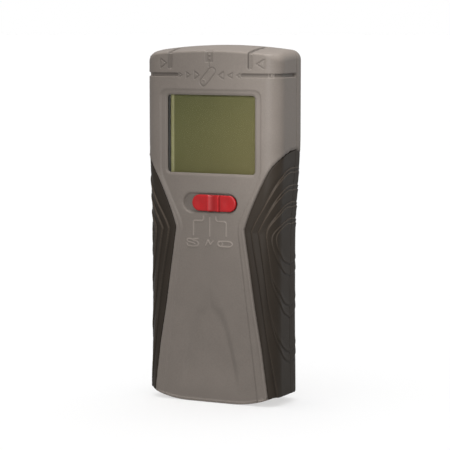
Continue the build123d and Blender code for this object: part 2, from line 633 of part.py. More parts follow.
NODES = {
    "front_housing": front_housing,
    "rear_housing": rear_housing,
    "battery_door": battery_door,
    "front_grip_right": lambda: GRIPS["front_grip_right"],
    "front_grip_left": front_grip_left,
    "rear_grip_right": lambda: GRIPS["rear_grip_right"],
    "rear_grip_left": lambda: GRIPS["rear_grip_left"],
    "lcd_window": lcd_window,
    "lcd_glass": lcd_glass,
    "lcd_polarizer": lcd_polarizer,
    "lcd_reflector": lcd_reflector,
    "lcd_holder": lcd_holder,
    "zebra_connectors": zebra_connectors,
    "slider_knob": slider_knob,
    "slider_carrier": slider_carrier,
    "slide_switch": slide_switch,
    "switch_lever": switch_lever,
    "power_button": power_button,
    "tact_switch": tact_switch,
    "tact_plunger": tact_plunger,
    "main_board": lambda: pin_holes(main_board()),
    "controller_chip": controller_chip,
    "amplifier_chips": amplifier_chips,
    "chip_resistors": chip_resistors,
    "electrolytic_capacitors": electrolytic_capacitors,
    "crystal": crystal,
    "voltage_regulator": voltage_regulator,
    "calibration_trimmer": calibration_trimmer,
    "buzzer": buzzer,
    "board_screws": board_screws,
    "housing_screws": housing_screws,
    "link_pins": link_pins,
    "link_headers": link_headers,
    "sensor_board": sensor_board,
    "sensing_plates": sensing_plates,
    "coil_bobbin": coil_bobbin,
    "coil_winding": coil_winding,
    "ferrite_core": ferrite_core,
    "voltage_antenna": voltage_antenna,
    "glide_pads": glide_pads,
    "battery": battery,
    "battery_snap": battery_snap,
    "lead_red": lambda: lead(1),
    "lead_black": lambda: lead(-1),
    "battery_foam": battery_foam,
}

os.makedirs("parts", exist_ok=True)
for name, make in NODES.items():
    export_step(make(), f"parts/{name}.step")
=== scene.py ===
"""Detailed visual model of a handheld wall detector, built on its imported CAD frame.

The body is worked out in millimetres on the same surfaces as the CAD part: +X is right seen
from the front, the front faces -Y, +Z is up. Meshes are made in metres.
"""
import math

import bmesh
import bpy
import numpy as np
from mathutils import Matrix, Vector


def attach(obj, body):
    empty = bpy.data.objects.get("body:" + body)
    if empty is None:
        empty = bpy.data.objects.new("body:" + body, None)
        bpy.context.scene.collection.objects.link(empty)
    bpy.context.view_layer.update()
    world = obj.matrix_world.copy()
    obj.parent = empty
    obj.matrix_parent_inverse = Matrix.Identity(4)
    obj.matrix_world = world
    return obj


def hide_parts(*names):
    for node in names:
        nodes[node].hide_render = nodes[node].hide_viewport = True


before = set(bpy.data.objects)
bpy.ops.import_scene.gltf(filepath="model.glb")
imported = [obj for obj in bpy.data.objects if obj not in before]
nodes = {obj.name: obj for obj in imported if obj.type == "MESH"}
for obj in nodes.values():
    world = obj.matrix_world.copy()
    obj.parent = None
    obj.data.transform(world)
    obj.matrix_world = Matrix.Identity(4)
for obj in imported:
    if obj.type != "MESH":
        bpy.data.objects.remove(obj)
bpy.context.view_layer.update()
MM = 0.001
SHARP_ANGLE = math.radians(40)

# ---- body, as in the CAD part; only the length is 0.02 less, to stay inside the part's faceted top ----
LENGTH, HALF_WIDTH = 176.98, 37.0
FRONT_Y, REAR_Y, SEAM_Y = -16.0, 16.0, 6.4
FRONT_SAG, FRONT_RADIUS, REAR_RADIUS = 1.6, 8.0, 6.0
WAIST_TUCK, REAR_TUCK, HANDLE_ROUNDING, FOOT_FLARE = 1.45, 1.2, 1.6, 0.4
TUCK_LOW, TUCK_HIGH, REAR_TUCK_LOW = 82.0, 134.0, 75.0
CROWN_RADIUS, CROWN_FRONT_DROP, CROWN_REAR_DROP = 260.0, 2.6, 1.2
FOOT_FLAT, FOOT_RADIUS, FOOT_STEP = 13.0, 52.0, 4.2
WALL = 2.2
GRIP_DEPTH, GRIP_GAP, GRIP_BACK = 1.6, 0.12, 3.2
SEAM_BEND = [(-3.0, 3.6), (18.0, 2.5), (42.0, 2.3), (70.0, 2.8), (98.0, 4.1), (121.0, 5.6),
             (132.0, SEAM_Y)]
HANDLE_REAR_Y = REAR_Y - REAR_TUCK

# heights where the shell's wall starts, where its rows stop following the foot and start following the
# crown, and where the wall and the crown are measured
WALL_LOW, FOLLOW_FOOT, FOLLOW_CROWN, WALL_TOP, CROWN_AT = 5.0, 30.0, 157.0, 170.0, 174.0

# ---- features ----
PANEL = [(27.6, 155.2), (27.6, 113.6), (15.3, 88.6), (27.2, -6.0)]
OPENING = (0.0, 133.4, 24.2, 19.3, 1.7)
OPENING_BACK_Y, RECESS_BACK_Y = -13.42, -12.62
SLIDER_Z, SLIDER_LENGTH, SLIDER_HEIGHT, SLIDER_FLOOR_Y = 99.5, 29.4, 9.2, -13.7
KNOB_X, KNOB_HALF, KNOB_HIGH, KNOB_PROUD_Y, KNOB_FLAT_Y = 2.35, 12.1, 4.05, -16.8, -15.75
BUTTON_Y, BUTTON_Z, BUTTON_HALF_Y, BUTTON_REACH, BUTTON_GAP = -1.9, 100.0, 3.0, 4.0, 0.3
BUTTON_FACE_X = 36.55
GROOVE_Z, GROOVE_START, GROOVE_HALF = 162.5, 18.15, 0.85
SLOT_X, SLOT_END_Z, SLOT_HALF = 22.0, 166.5, 1.1
NOTCH_X, NOTCH_HALF, NOTCH_LOW, NOTCH_DEEP_Y = -0.08, 1.93, 168.8, -13.4
PIPE_LOW, PIPE_HIGH, PIPE_RADIUS = (-3.1, 159.2), (1.4, 164.3), 1.95
ARROW_Z = 162.4
DOOR_HALF, DOOR_LOW, DOOR_HIGH, DOOR_GAP = 16.4, 6.0, 66.0, 0.3
DOOR_INNER_Y, HINGE_Y, HINGE_Z, HINGE_RADIUS = 12.8, 13.6, 7.2, 1.2
THUMB_Z = 59.6
PAD_X, PAD_LOW, PAD_HIGH, PAD_HALF = 24.0, 139.0, 156.0, 2.5
SCREW_SPOTS = [(-28.0, 165.6), (28.0, 165.6), (-22.0, 12.5), (22.0, 12.5)]
SCREW_HOLE = 2.7

# edge of the front grip: distance round the body from its front centre, and height
GRIP_EDGE = [(31.7, 2.0), (31.6, 4.2), (28.2, 28.0), (24.7, 48.0), (21.9, 67.0), (19.1, 85.4),
             (18.95, 87.2), (21.3, 94.0), (25.3, 103.3), (30.1, 112.8), (34.7, 119.2), (42.1, 123.5),
             (52.3, 125.5), (60.0, 125.9)]

# each pair of ridges on the grips: distance forward from the seam, and height
RIDGES = [
    [(0, 117.0), (4, 116.9), (8, 116.0), (12, 114.3), (17, 109.4), (22.8, 97.8), (27.6, 87.6),
     (27.4, 82.5), (22.8, 60.2), (18.5, 33.2), (14.6, 8.0), (13.2, -3.0)],
    [(0, 114.7), (4, 115.0), (8, 114.2), (13.4, 112.0), (17.4, 107.8), (22.5, 97.8), (27.3, 87.6),
     (27.1, 82.5), (22.5, 60.2), (18.2, 33.2), (14.3, 8.0), (12.9, -3.0)],
    [(0, 108.5), (5, 108.2), (9, 107.2), (13.4, 105.2), (17.6, 100.0), (23.9, 87.4), (23.6, 83.0),
     (20.4, 66.0), (17.5, 48.2), (13.8, 34.2), (10, 26.6), (5.5, 22.4), (0, 20.3)],
    [(0, 106.0), (4, 106.2), (8, 105.5), (12.4, 103.8), (17.2, 99.6), (23.6, 87.4), (23.3, 83.0),
     (20.1, 66.0), (17.2, 48.2), (13.4, 36.0), (9.7, 30.6), (5.2, 27.2), (0, 25.3)],
    [(0, 100.2), (4.6, 99.6), (9, 98.6), (13, 96.5), (17.6, 91.5), (20.1, 86.2), (19.1, 77.8),
     (16.9, 65.0), (14.3, 57.0), (10, 49.6), (6, 45.6), (0, 42.8)],
    [(0, 97.6), (4, 98.0), (8, 97.3), (12, 95.7), (17, 91.4), (19.8, 86.2), (18.8, 77.8),
     (16.4, 65.0), (13.4, 59.0), (9, 53.2), (5, 50.2), (0, 48.4)],
    [(0, 92.0), (4, 91.6), (8.2, 90.5), (12.4, 89.0), (15.8, 86.3), (17.1, 83.0), (16.0, 78.0),
     (13.2, 72.3), (9.6, 68.0), (5.5, 65.2), (0, 63.8)],
    [(0, 89.4), (4, 89.7), (8, 88.8), (12, 87.3), (14.2, 85.0), (14.6, 82.0), (13.5, 78.6),
     (10.5, 74.3), (6.5, 71.2), (0, 69.3)],
]


def smooth(t):
    t = np.clip(t, 0.0, 1.0)
    return t * t * (3 - 2 * t)


def flowing(points, steps=8):
    """Smooth line through the points."""
    p = np.array(points, float)
    p = np.vstack([2 * p[0] - p[1], p, 2 * p[-1] - p[-2]])
    t = np.linspace(0, 1, steps, endpoint=False)[:, None]
    parts = []
    for a, b, c, d in zip(p, p[1:], p[2:], p[3:]):
        parts.append(0.5 * (2 * b + (c - a) * t + (2 * a - 5 * b + 4 * c - d) * t**2
                            + (3 * b - a - 3 * c + d) * t**3))
    return np.vstack(parts + [p[-2:-1]])


# ---------------------------------------------------------------- body surfaces
SEAM_LINE = flowing(SEAM_BEND)


def seam_y(z):
    return np.interp(z, SEAM_LINE[:, 0], SEAM_LINE[:, 1])


def half_width(z):
    """Half width of the body: narrower at the handle, and a little wider again at the foot."""
    waist = WAIST_TUCK * (1 - smooth((z - TUCK_LOW) / (TUCK_HIGH - TUCK_LOW)))
    return HALF_WIDTH - waist + FOOT_FLARE * smooth((45.0 - z) / 40.0)


def handle_part(z):
    """1 along the handle, 0 along the head."""
    return 1 - smooth((z - REAR_TUCK_LOW) / (TUCK_HIGH - REAR_TUCK_LOW))


def rear_y(z):
    return REAR_Y - REAR_TUCK * handle_part(z)


def rear_radius(z):
    return REAR_RADIUS + HANDLE_ROUNDING * handle_part(z)


def front_breaks(z):
    """Arc radius, its half angle, and where the front corner ends in distance and in Y."""
    w = half_width(z)
    radius = (w**2 + FRONT_SAG**2) / (2 * FRONT_SAG)
    turn = np.arcsin((w - FRONT_RADIUS) / (radius - FRONT_RADIUS))
    corner_s = radius * turn + FRONT_RADIUS * (math.pi / 2 - turn)
    corner_y = FRONT_Y + radius * (1 - np.cos(turn)) + FRONT_RADIUS * np.cos(turn)
    return radius, turn, corner_s, corner_y


def front_outline(u, z, inset):
    """Right half of the front outline: u is 0 to 1 on the face, to 2 round the corner, to 3 at the seam."""
    radius, turn, _, corner_y = front_breaks(z)
    w = half_width(z)
    a = np.clip(u, 0, 1) * turn
    face_x, face_y = (radius - inset) * np.sin(a), FRONT_Y + radius - (radius - inset) * np.cos(a)
    b = turn + np.clip(u - 1, 0, 1) * (math.pi / 2 - turn)
    r = FRONT_RADIUS - inset
    bend_x, bend_y = w - FRONT_RADIUS + r * np.sin(b), corner_y - r * np.cos(b)
    side_y = corner_y + np.clip(u - 2, 0, 1) * (seam_y(z) - corner_y)
    x = np.where(u < 1, face_x, np.where(u < 2, bend_x, w - inset))
    y = np.where(u < 1, face_y, np.where(u < 2, bend_y, side_y))
    return x, y


def front_distance(u, z):
    """Distance round the body from the front centre."""
    radius, turn, _, corner_y = front_breaks(z)
    b = np.clip(u - 1, 0, 1) * (math.pi / 2 - turn)
    side = np.clip(u - 2, 0, 1) * (seam_y(z) - corner_y)
    return radius * turn * np.clip(u, 0, 1) + FRONT_RADIUS * b + side


def front_place(s, z, inset):
    """Point on the front outline at a distance round the body."""
    radius, turn, corner_s, corner_y = front_breaks(z)
    u = np.where(s < radius * turn, s / (radius * turn),
                 np.where(s < corner_s, 1 + (s - radius * turn) / (corner_s - radius * turn),
                          2 + (s - corner_s) / (seam_y(z) - corner_y)))
    return front_outline(u, z, inset)


def rear_outline(u, z, inset):
    """Right half of the rear outline: u is 0 to 1 on the face, to 2 round the corner, to 3 at the seam."""
    w, r, back = half_width(z), rear_radius(z), rear_y(z)
    face_x = np.clip(u, 0, 1) * (w - r)
    b = np.clip(u - 1, 0, 1) * math.pi / 2
    bend_x, bend_y = w - r + (r - inset) * np.sin(b), back - r + (r - inset) * np.cos(b)
    side_y = back - r + np.clip(u - 2, 0, 1) * (seam_y(z) - back + r)
    x = np.where(u < 1, face_x, np.where(u < 2, bend_x, w - inset))
    y = np.where(u < 1, back - inset, np.where(u < 2, bend_y, side_y))
    return x, y


def rear_place(d, z, inset):
    """Point on the rear outline at a distance behind the seam."""
    w, r, back = half_width(z), rear_radius(z), rear_y(z)
    side = back - r - seam_y(z)
    u = np.where(d < side, 3 - d / side,
                 np.where(d < side + r * math.pi / 2, 2 - (d - side) / (r * math.pi / 2),
                          1 - (d - side - r * math.pi / 2) / (w - r)))
    return rear_outline(u, z, inset)


def crown(x, y, inset):
    """Height of the top: one wide arc across, falling to the front and the back."""
    drop = np.where(y < SEAM_Y, CROWN_FRONT_DROP * ((SEAM_Y - y) / (SEAM_Y - FRONT_Y)) ** 2,
                    CROWN_REAR_DROP * ((y - SEAM_Y) / (REAR_Y - SEAM_Y)) ** 2)
    rim = CROWN_RADIUS - drop - inset
    return LENGTH - CROWN_RADIUS + np.sqrt(rim**2 - x**2)


def foot(x, inset):
    """Height of the underside: flat in the middle, curving up to the two sides."""
    run = np.clip(np.abs(x) - FOOT_FLAT, 0, 23)
    return inset + np.minimum(FOOT_RADIUS - np.sqrt(FOOT_RADIUS**2 - run**2), FOOT_STEP)


def crown_edge(x):
    """Rounding of the top edge: small in front, large at the two sides."""
    return 0.9 + 3.1 * smooth((np.abs(x) - 29.0) / 7.5)


# ---------------------------------------------------------------- distances in the plane
def to_segment(x, z, a, b):
    ax, az, bx, bz = a[0], a[1], b[0] - a[0], b[1] - a[1]
    t = np.clip(((x - ax) * bx + (z - az) * bz) / max(bx * bx + bz * bz, 1e-12), 0, 1)
    return np.hypot(x - ax - t * bx, z - az - t * bz)


def to_line(x, z, points):
    found = np.full(x.shape, 99.0)
    for a, b in zip(points, points[1:]):
        found = np.minimum(found, to_segment(x, z, a, b))
    return found


def to_shape(x, z, points):
    """Signed distance to a closed outline, negative inside."""
    closed = list(points) + [points[0]]
    inside = np.zeros(x.shape, bool)
    for a, b in zip(closed, closed[1:]):
        crosses = (a[1] > z) != (b[1] > z)
        if a[1] != b[1]:
            inside ^= crosses & (x < a[0] + (z - a[1]) * (b[0] - a[0]) / (b[1] - a[1]))
    return np.where(inside, -1, 1) * to_line(x, z, closed)


def to_box(x, z, cx, cz, half_x, half_z, r):
    qx, qz = np.abs(x - cx) - half_x + r, np.abs(z - cz) - half_z + r
    return np.hypot(np.maximum(qx, 0), np.maximum(qz, 0)) + np.minimum(np.maximum(qx, qz), 0) - r


def inside(distance, width):
    """1 inside, 0 outside, with an edge of that width."""
    return smooth(0.5 - distance / width)


def bars(x, z, half, heights, radius, blend):
    """Level rounded bars across the middle: 1 on the bars, 0 off them."""
    return sum(inside(to_segment(x, z, (-half, h), (half, h)) - radius, blend) for h in heights)


def softened(points, r, closed):
    """The outline with its corners rounded."""
    p = [np.array(q, float) for q in points]
    count = len(p)
    result = []
    for i, q in enumerate(p):
        if not closed and i in (0, count - 1):
            result.append(tuple(q))
            continue
        a, b = p[i - 1], p[(i + 1) % count]
        ra = min(r, 0.45 * np.linalg.norm(a - q))
        rb = min(r, 0.45 * np.linalg.norm(b - q))
        start, end = q + (a - q) / np.linalg.norm(a - q) * ra, q + (b - q) / np.linalg.norm(b - q) * rb
        for t in (0, 0.25, 0.5, 0.75, 1):
            result.append(tuple((1 - t) ** 2 * start + 2 * t * (1 - t) * q + t * t * end))
    return result


# ---------------------------------------------------------------- mesh making
def spaced(stops, steps):
    """Values through the stops; each stretch is divided into steps of about the given size."""
    values = [stops[0]]
    for a, b, step in zip(stops, stops[1:], steps):
        count = max(1, int(round((b - a) / step)))
        values += [a + (b - a) * (i + 1) / count for i in range(count)]
    return np.array(values)


def normals(grid):
    """Outward normals of a grid of points, rows going up and columns going left to right."""
    up = np.gradient(grid, axis=0)
    right = np.gradient(grid, axis=1)
    n = np.cross(right, up)
    return n / np.maximum(np.linalg.norm(n, axis=2, keepdims=True), 1e-9)


def grid_faces(rows, columns):
    index = np.arange(rows * columns).reshape(rows, columns)
    return np.stack([index[:-1, :-1], index[:-1, 1:], index[1:, 1:], index[1:, :-1]], axis=2).reshape(-1, 4)


def kept(data, faces, value):
    """Keeps the part of each face where value is positive, and cuts faces along its zero line."""
    positive = value[faces] > 0
    count = positive.sum(axis=1)
    result = [list(f) for f in faces[count == 4]]
    rows, cuts = [data], {}
    total = len(data)
    for face in faces[(count > 0) & (count < 4)]:
        polygon = []
        for a, b in zip(face, np.roll(face, -1)):
            if value[a] > 0:
                polygon.append(a)
            if (value[a] > 0) != (value[b] > 0):
                key = (min(a, b), max(a, b))
                if key not in cuts:
                    lo, hi = key
                    t = np.clip(value[lo] / (value[lo] - value[hi]), 0.02, 0.98)
                    rows.append((data[lo] * (1 - t) + data[hi] * t)[None])
                    cuts[key] = total
                    total += 1
                polygon.append(cuts[key])
        if len(polygon) > 2:
            result.append(polygon)
    return np.vstack(rows), result


def outward(data, faces):
    """The faces, turned over if they look from the outer layer towards the inner one."""
    middle = data[faces[len(faces) // 2]]
    facing = np.cross(middle[1, :3] - middle[0, :3], middle[2, :3] - middle[0, :3])
    return faces[:, ::-1] if facing @ (middle[0, :3] - middle[0, 3:6]) < 0 else faces


def turns(count, start=0.0):
    """Angles once round a circle."""
    return np.linspace(start, start + 2 * math.pi, count, endpoint=False)


def link_object(name, data):
    thing = bpy.data.objects.new(name, data)
    bpy.context.scene.collection.objects.link(thing)
    return thing


def set_tone(mesh, tone):
    """A value at each vertex that lightens or darkens the material; on the shells, grips and knob it holds
    painted highlights and painted shade.
    """
    shade = mesh.attributes.new("tone", "FLOAT", "POINT")
    shade.data.foreach_set("value", np.asarray(tone, np.float32))


def shade_smooth(mesh):
    mesh.polygons.foreach_set("use_smooth", np.ones(len(mesh.polygons), bool))


def apply_modifiers(piece):
    bpy.context.view_layer.update()
    evaluated = piece.evaluated_get(bpy.context.evaluated_depsgraph_get())
    mesh = bpy.data.meshes.new_from_object(evaluated)
    piece.modifiers.clear()
    piece.vertex_groups.clear()
    piece.data = mesh


def closed_sheet(name, outer, inner, faces, tone, thin_inside=0.0):
    """Closed mesh from an outer and an inner layer that share their faces, with walls at every rim.

    thin_inside is the share of faces kept on the hidden inner layer.
    """
    used = np.unique(np.concatenate([np.array(f) for f in faces]))
    renumber = np.full(len(outer), -1)
    renumber[used] = np.arange(len(used))
    outer, inner, tone = outer[used], inner[used], tone[used]
    faces = [[int(renumber[i]) for i in f] for f in faces]
    count = len(outer)
    edges = {(a, b) for f in faces for a, b in zip(f, f[1:] + f[:1])}
    walls = [[b, a, a + count, b + count] for a, b in edges if (b, a) not in edges]
    back = [[i + count for i in reversed(f)] for f in faces]
    mesh = bpy.data.meshes.new(name)
    mesh.from_pydata((np.vstack([outer, inner]) * MM).tolist(), [], faces + walls + back)
    mesh.update()
    set_tone(mesh, np.concatenate([tone, np.ones(count)]))
    piece = link_object(name, mesh)
    if thin_inside:
        rim = {i for wall in walls for i in wall}
        hidden = piece.vertex_groups.new(name="hidden")
        hidden.add([i for i in range(count, 2 * count) if i not in rim], 1.0, "REPLACE")
        fewer = piece.modifiers.new("thin", "DECIMATE")
        fewer.ratio = thin_inside
        fewer.vertex_group = hidden.name
        apply_modifiers(piece)
    shade_smooth(piece.data)
    return piece


def place(piece, body, material, slot_name, *replaced):
    piece.data.materials.clear()
    piece.data.materials.append(material)
    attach(piece, body)
    if replaced:
        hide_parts(*replaced)
    return piece


# ---------------------------------------------------------------- shells
def column_steps(near, corner, side):
    """Values of u from the centre to the seam (see front_outline), closer together at the seam's edge."""
    face = np.linspace(0, 1, near)
    bend = np.linspace(1, 2, corner)[1:]
    flank = np.linspace(2, 2.93, side)[1:]
    return np.concatenate([face, bend, flank, [2.955, 2.975, 2.99, 3.0]])


def shell_grid(outline, u, wall_z, cap_rows, inset):
    """Grid of points over one shell: underside, wall and top, from the foot's seam to the crown's seam."""
    right = np.concatenate([-u[::-1], u[1:]])
    size, side = np.abs(right), np.sign(right)
    inner = inset > 0

    def at(z, extra=0.0):
        x, y = outline(size, z, inset + extra)
        return side * x, y

    rows = []
    low_z = np.full(right.shape, WALL_LOW)
    foot_r = 0.6 if not inner else 0.3
    x0, y0 = at(low_z, foot_r)
    ridge = seam_y(0.0)
    spread = np.where(size < 1, size * 0.86, 0.86 + (size - 1) * 0.07)
    ridge_x = side * spread * (half_width(WALL_LOW) - inset - foot_r)
    for k in np.linspace(0, 1, cap_rows):
        x, y = ridge_x * (1 - k) + x0 * k, ridge * (1 - k) + y0 * k
        rows.append(np.stack([x, y, foot(x, inset)], axis=1))
    for a in np.linspace(0, math.pi / 2, 6)[1:]:
        x, y = at(low_z, foot_r * (1 - math.sin(a)))
        rows.append(np.stack([x, y, foot(x, inset) + foot_r * (1 - math.cos(a))], axis=1))
    start = foot(at(low_z)[0], inset) + foot_r
    x_top, y_top = at(np.full(right.shape, WALL_TOP))
    edge = crown_edge(x_top) if not inner else np.maximum(crown_edge(x_top) - inset, 0.4)
    end = crown(x_top, y_top, inset) - edge
    for z in wall_z:
        near_foot = np.clip((FOLLOW_FOOT - z) / (FOLLOW_FOOT - wall_z[0]), 0, 1)
        near_crown = np.clip((z - FOLLOW_CROWN) / (wall_z[-1] - FOLLOW_CROWN), 0, 1)
        level = z + (start - wall_z[0]) * near_foot + (end - wall_z[-1]) * near_crown**2
        x, y = at(level)
        rows.append(np.stack([x, y, level], axis=1))
    high_z = np.full(right.shape, CROWN_AT)
    for a in np.linspace(0, math.pi / 2, 8)[1:]:
        x, y = pulled(outline, size, high_z, inset, edge * (1 - math.cos(a)))
        x = side * x
        rows.append(np.stack([x, y, crown(x, y, inset) - edge * (1 - math.sin(a))], axis=1))
    x1, y1 = pulled(outline, size, high_z, inset, edge)
    x1 = side * x1
    top_x = side * np.where(size < 1, size * 0.84, 0.84 + (size - 1) * 0.08) * np.max(np.abs(x1))
    for k in np.linspace(0, 1, cap_rows + 12)[1:]:
        x, y = x1 * (1 - k) + top_x * k, y1 * (1 - k) + SEAM_Y * k
        rows.append(np.stack([x, y, crown(x, y, inset)], axis=1))
    return np.array(rows)


def shell_layers(outline, u, wall_z, cap_rows, flipped=False):
    """Points of a shell's outer face, its inner face, the bed under the grips and the back of that bed.

    Also gives the outward normals, the size of u at each point, and the grid's faces.
    """
    insets = (0.0, WALL, GRIP_DEPTH + GRIP_GAP, GRIP_BACK)
    grids = [shell_grid(outline, u, wall_z, cap_rows, inset) for inset in insets]
    if flipped:
        grids = [grid[:, ::-1] for grid in grids]
    rows, columns = grids[0].shape[:2]
    size = np.tile(np.concatenate([u[::-1], u[1:]]), rows)
    points = [grid.reshape(-1, 3) for grid in grids]
    return points, normals(grids[0]).reshape(-1, 3), size, grid_faces(rows, columns)


def pulled(outline, size, z, inset, shift):
    """Outline moved inwards by a different amount at each point."""
    x, y = outline(size, z, inset)
    x2, y2 = outline(size, z, inset + 0.5)
    n = np.stack([x - x2, y - y2], axis=1)
    n = n / np.linalg.norm(n, axis=1, keepdims=True)
    return x - n[:, 0] * shift, y - n[:, 1] * shift


def arch_relief(x, z):
    """Soft tongue-shaped hollow low on the front."""
    outer = 2.93 * np.maximum(56.8 - z, 0) ** 0.451
    inner = np.where(z < 46.5, 2.27 * np.maximum(46.5 - z, 0) ** 0.504, (46.5 - z) * 1.2)
    return smooth((outer - np.abs(x)) / np.maximum(outer - inner, 0.5)) * smooth((z - 5) / 16) * (z < 57)


MARK_LINES = [
    [(0, 92.3), (0, 83.0)],
    softened([(-3.4, 92.8), (-3.6, 90.6), (-9.1, 90.6), (-9.1, 83.2)], 1.3, False),
    softened([(3.4, 92.8), (3.6, 90.6), (9.1, 90.6), (9.1, 83.2)], 1.3, False),
    [(-2.2, 78.4), (-0.9, 81.2), (0.4, 78.9), (1.9, 80.7)],
    softened([(5.7, 80.8), (11.4, 80.8), (12.7, 79.5), (11.4, 78.2), (5.7, 78.2), (4.3, 79.5)], 1.2, True),
    flowing([(-6.4, 81.5), (-9.6, 81.1), (-12.1, 81.3), (-12.6, 80.4), (-11.4, 79.8), (-9.2, 79.4),
             (-8.2, 78.9)], 4),
    flowing([(-12.7, 79.3), (-12.2, 78.0), (-9.6, 77.7), (-6.9, 78.0), (-6.4, 79.3), (-7.3, 80.3),
             (-9.3, 80.5)], 4),
]


def arrow(tip, back, half, z=ARROW_Z):
    """Small triangle outline."""
    return [(tip, z), (back, z + half), (back, z - half), (tip, z)]


TOP_LINES = [
    arrow(-24.0, -27.5, 2.3, 168.1), arrow(25.4, 29.4, 2.3, 168.1),
    arrow(-5.5, -8.2, 1.9), arrow(5.0, 7.9, 1.9),
    arrow(-10.5, -12.6, 1.4), arrow(10.2, 12.6, 1.4),
    arrow(-15.1, -16.7, 1.0), arrow(15.1, 16.7, 1.0),
    [(0.0, 168.2), (0.0, 166.5)],
]


def sign_distance(x, z, half, low, high, lines, shape):
    """Distance to the nearest line or to the shape, worked out inside a box and large elsewhere."""
    near = (np.abs(x) < half) & (z > low) & (z < high)
    closest = shape(x[near], z[near])
    for points in lines:
        closest = np.minimum(closest, to_line(x[near], z[near], points))
    distance = np.full(x.shape, 99.0)
    distance[near] = closest
    return distance


def marks(x, z):
    """Raised lines and signs below the slider."""
    def pipe_end(px, pz):
        return np.abs(np.hypot(px - 5.75, pz - 79.5) - 1.25)

    return inside(sign_distance(x, z, 15, 75, 94, MARK_LINES, pipe_end) - 0.25, 0.4)


def top_marks(x, z):
    """Engraved pipe sign with its end circle, arrows and triangles."""
    def pipe(px, pz):
        return np.abs(to_segment(px, pz, PIPE_LOW, PIPE_HIGH) - PIPE_RADIUS)

    end_circle = np.abs(np.hypot(x - PIPE_LOW[0], z - PIPE_LOW[1]) - 0.95)
    lines = inside(sign_distance(x, z, 31, 155, 172, TOP_LINES, pipe) - 0.2, 0.4)
    return lines, inside(end_circle - 0.15, 0.35)


def front_relief(p, s, d, n):
    """Height of the front shell's details above its plain surface, and their tone: painted highlights and
    painted shade on the details.
    """
    x, y, z = p[:, 0], p[:, 1], p[:, 2]
    facing = (y < -8) * smooth((-n[:, 1] - 0.15) / 0.5)
    size = np.abs(x)
    height = np.zeros(len(p))
    tone = np.ones(len(p))
    panel_line = softened(PANEL + [(-a, b) for a, b in reversed(PANEL)], 4.0, True)
    height -= 0.6 * inside(to_shape(x, z, panel_line), 0.9) * facing
    opening = to_box(x, z, *OPENING)
    height -= 0.8 * smooth(1 - opening / 1.3) ** 2 * facing
    height -= 1.05 * arch_relief(x, z) * facing
    slot = np.hypot(size - SLOT_X, np.minimum(z - SLOT_END_Z, 0)) - SLOT_HALF
    slot = np.maximum(slot, y - SEAM_Y + 2.0)
    slots = inside(slot, 0.4)
    slot_rim = inside(np.abs(slot) - 0.12, 0.4)
    slot_left = inside(x - np.sign(x) * SLOT_X + 0.3, 0.6)
    rib = np.maximum(inside(np.abs(s - 31.6) - 0.35, 0.4), inside(np.abs(s - 34.6) - 0.35, 0.4)) * (x > 0)
    groove = to_segment(s, z, (GROOVE_START, GROOVE_Z), (90.0, GROOVE_Z)) - GROOVE_HALF
    groove = inside(groove, 0.4) * (1 - 0.9 * rib)
    height -= np.maximum(slots, groove * (d > 1.0))
    notch = np.maximum(np.abs(x - NOTCH_X) - NOTCH_HALF, NOTCH_LOW - z)
    notch = inside(np.maximum(notch, y - NOTCH_DEEP_Y), 0.35)
    dots = inside(np.minimum(np.hypot(x, z - 172.5), np.hypot(x, z - 170.6)) - 0.42, 0.35)
    height -= 0.55 * notch - 0.5 * dots
    top, dot = top_marks(x, z)
    height -= 0.5 * top * facing - 0.4 * dot * facing
    line = marks(x, z) * facing
    height += 0.3 * line
    ridge_mark = inside(np.maximum(np.abs(x) - 0.35, 3.6 - y), 0.35) * (z > 170)
    height -= 0.35 * ridge_mark
    # painted highlight on the raised lines below the slider, painted shade in the engraved top marks and in
    # the slots, and on each slot's rim a painted highlight on its right that turns to painted shade on its
    # left
    tone += 0.5 * line - 0.12 * top * facing - 0.08 * slots + slot_rim * (0.3 - 0.85 * slot_left)
    # painted highlight on a thin line below the groove's level, inward of its end; painted shade in the
    # groove's upper half and in the notch; painted highlight on the notch's raised dots
    groove_lip = inside(np.abs(z - GROOVE_Z + 1.0) - 0.15, 0.4) * inside(18.0 - s, 0.6) * (d > 1.0)
    groove_shade = groove * inside(GROOVE_Z - 0.15 - z, 0.6)
    tone += 0.16 * groove_lip - 0.36 * groove_shade - 0.15 * notch + 0.2 * dots
    return height, tone


def grip_edge_distance(s, z):
    """Signed distance to the front grip's edge, negative on the grip."""
    low = [p for p in GRIP_EDGE if p[1] < 86]
    line = low + [tuple(p) for p in flowing(GRIP_EDGE[6:], 5)]
    return to_shape(s, z, line + [(60.0, 2.0)])


def button_distance(y, z):
    """Distance outside the button's hole."""
    low, high = (BUTTON_Y, BUTTON_Z - BUTTON_REACH), (BUTTON_Y, BUTTON_Z + BUTTON_REACH)
    return to_segment(y, z, low, high) - BUTTON_HALF_Y - BUTTON_GAP


def recess_distance(x, z):
    """Distance outside the slider's recess."""
    half = (SLIDER_LENGTH - SLIDER_HEIGHT) / 2
    return to_segment(x, z, (-half, SLIDER_Z), (half, SLIDER_Z)) - SLIDER_HEIGHT / 2


def bedded(p, n, height, sunk, under):
    """The surface with its details, sunk where the grips lie on it."""
    return (p + n * height[:, None]) * (1 - under[:, None]) + sunk * under[:, None]


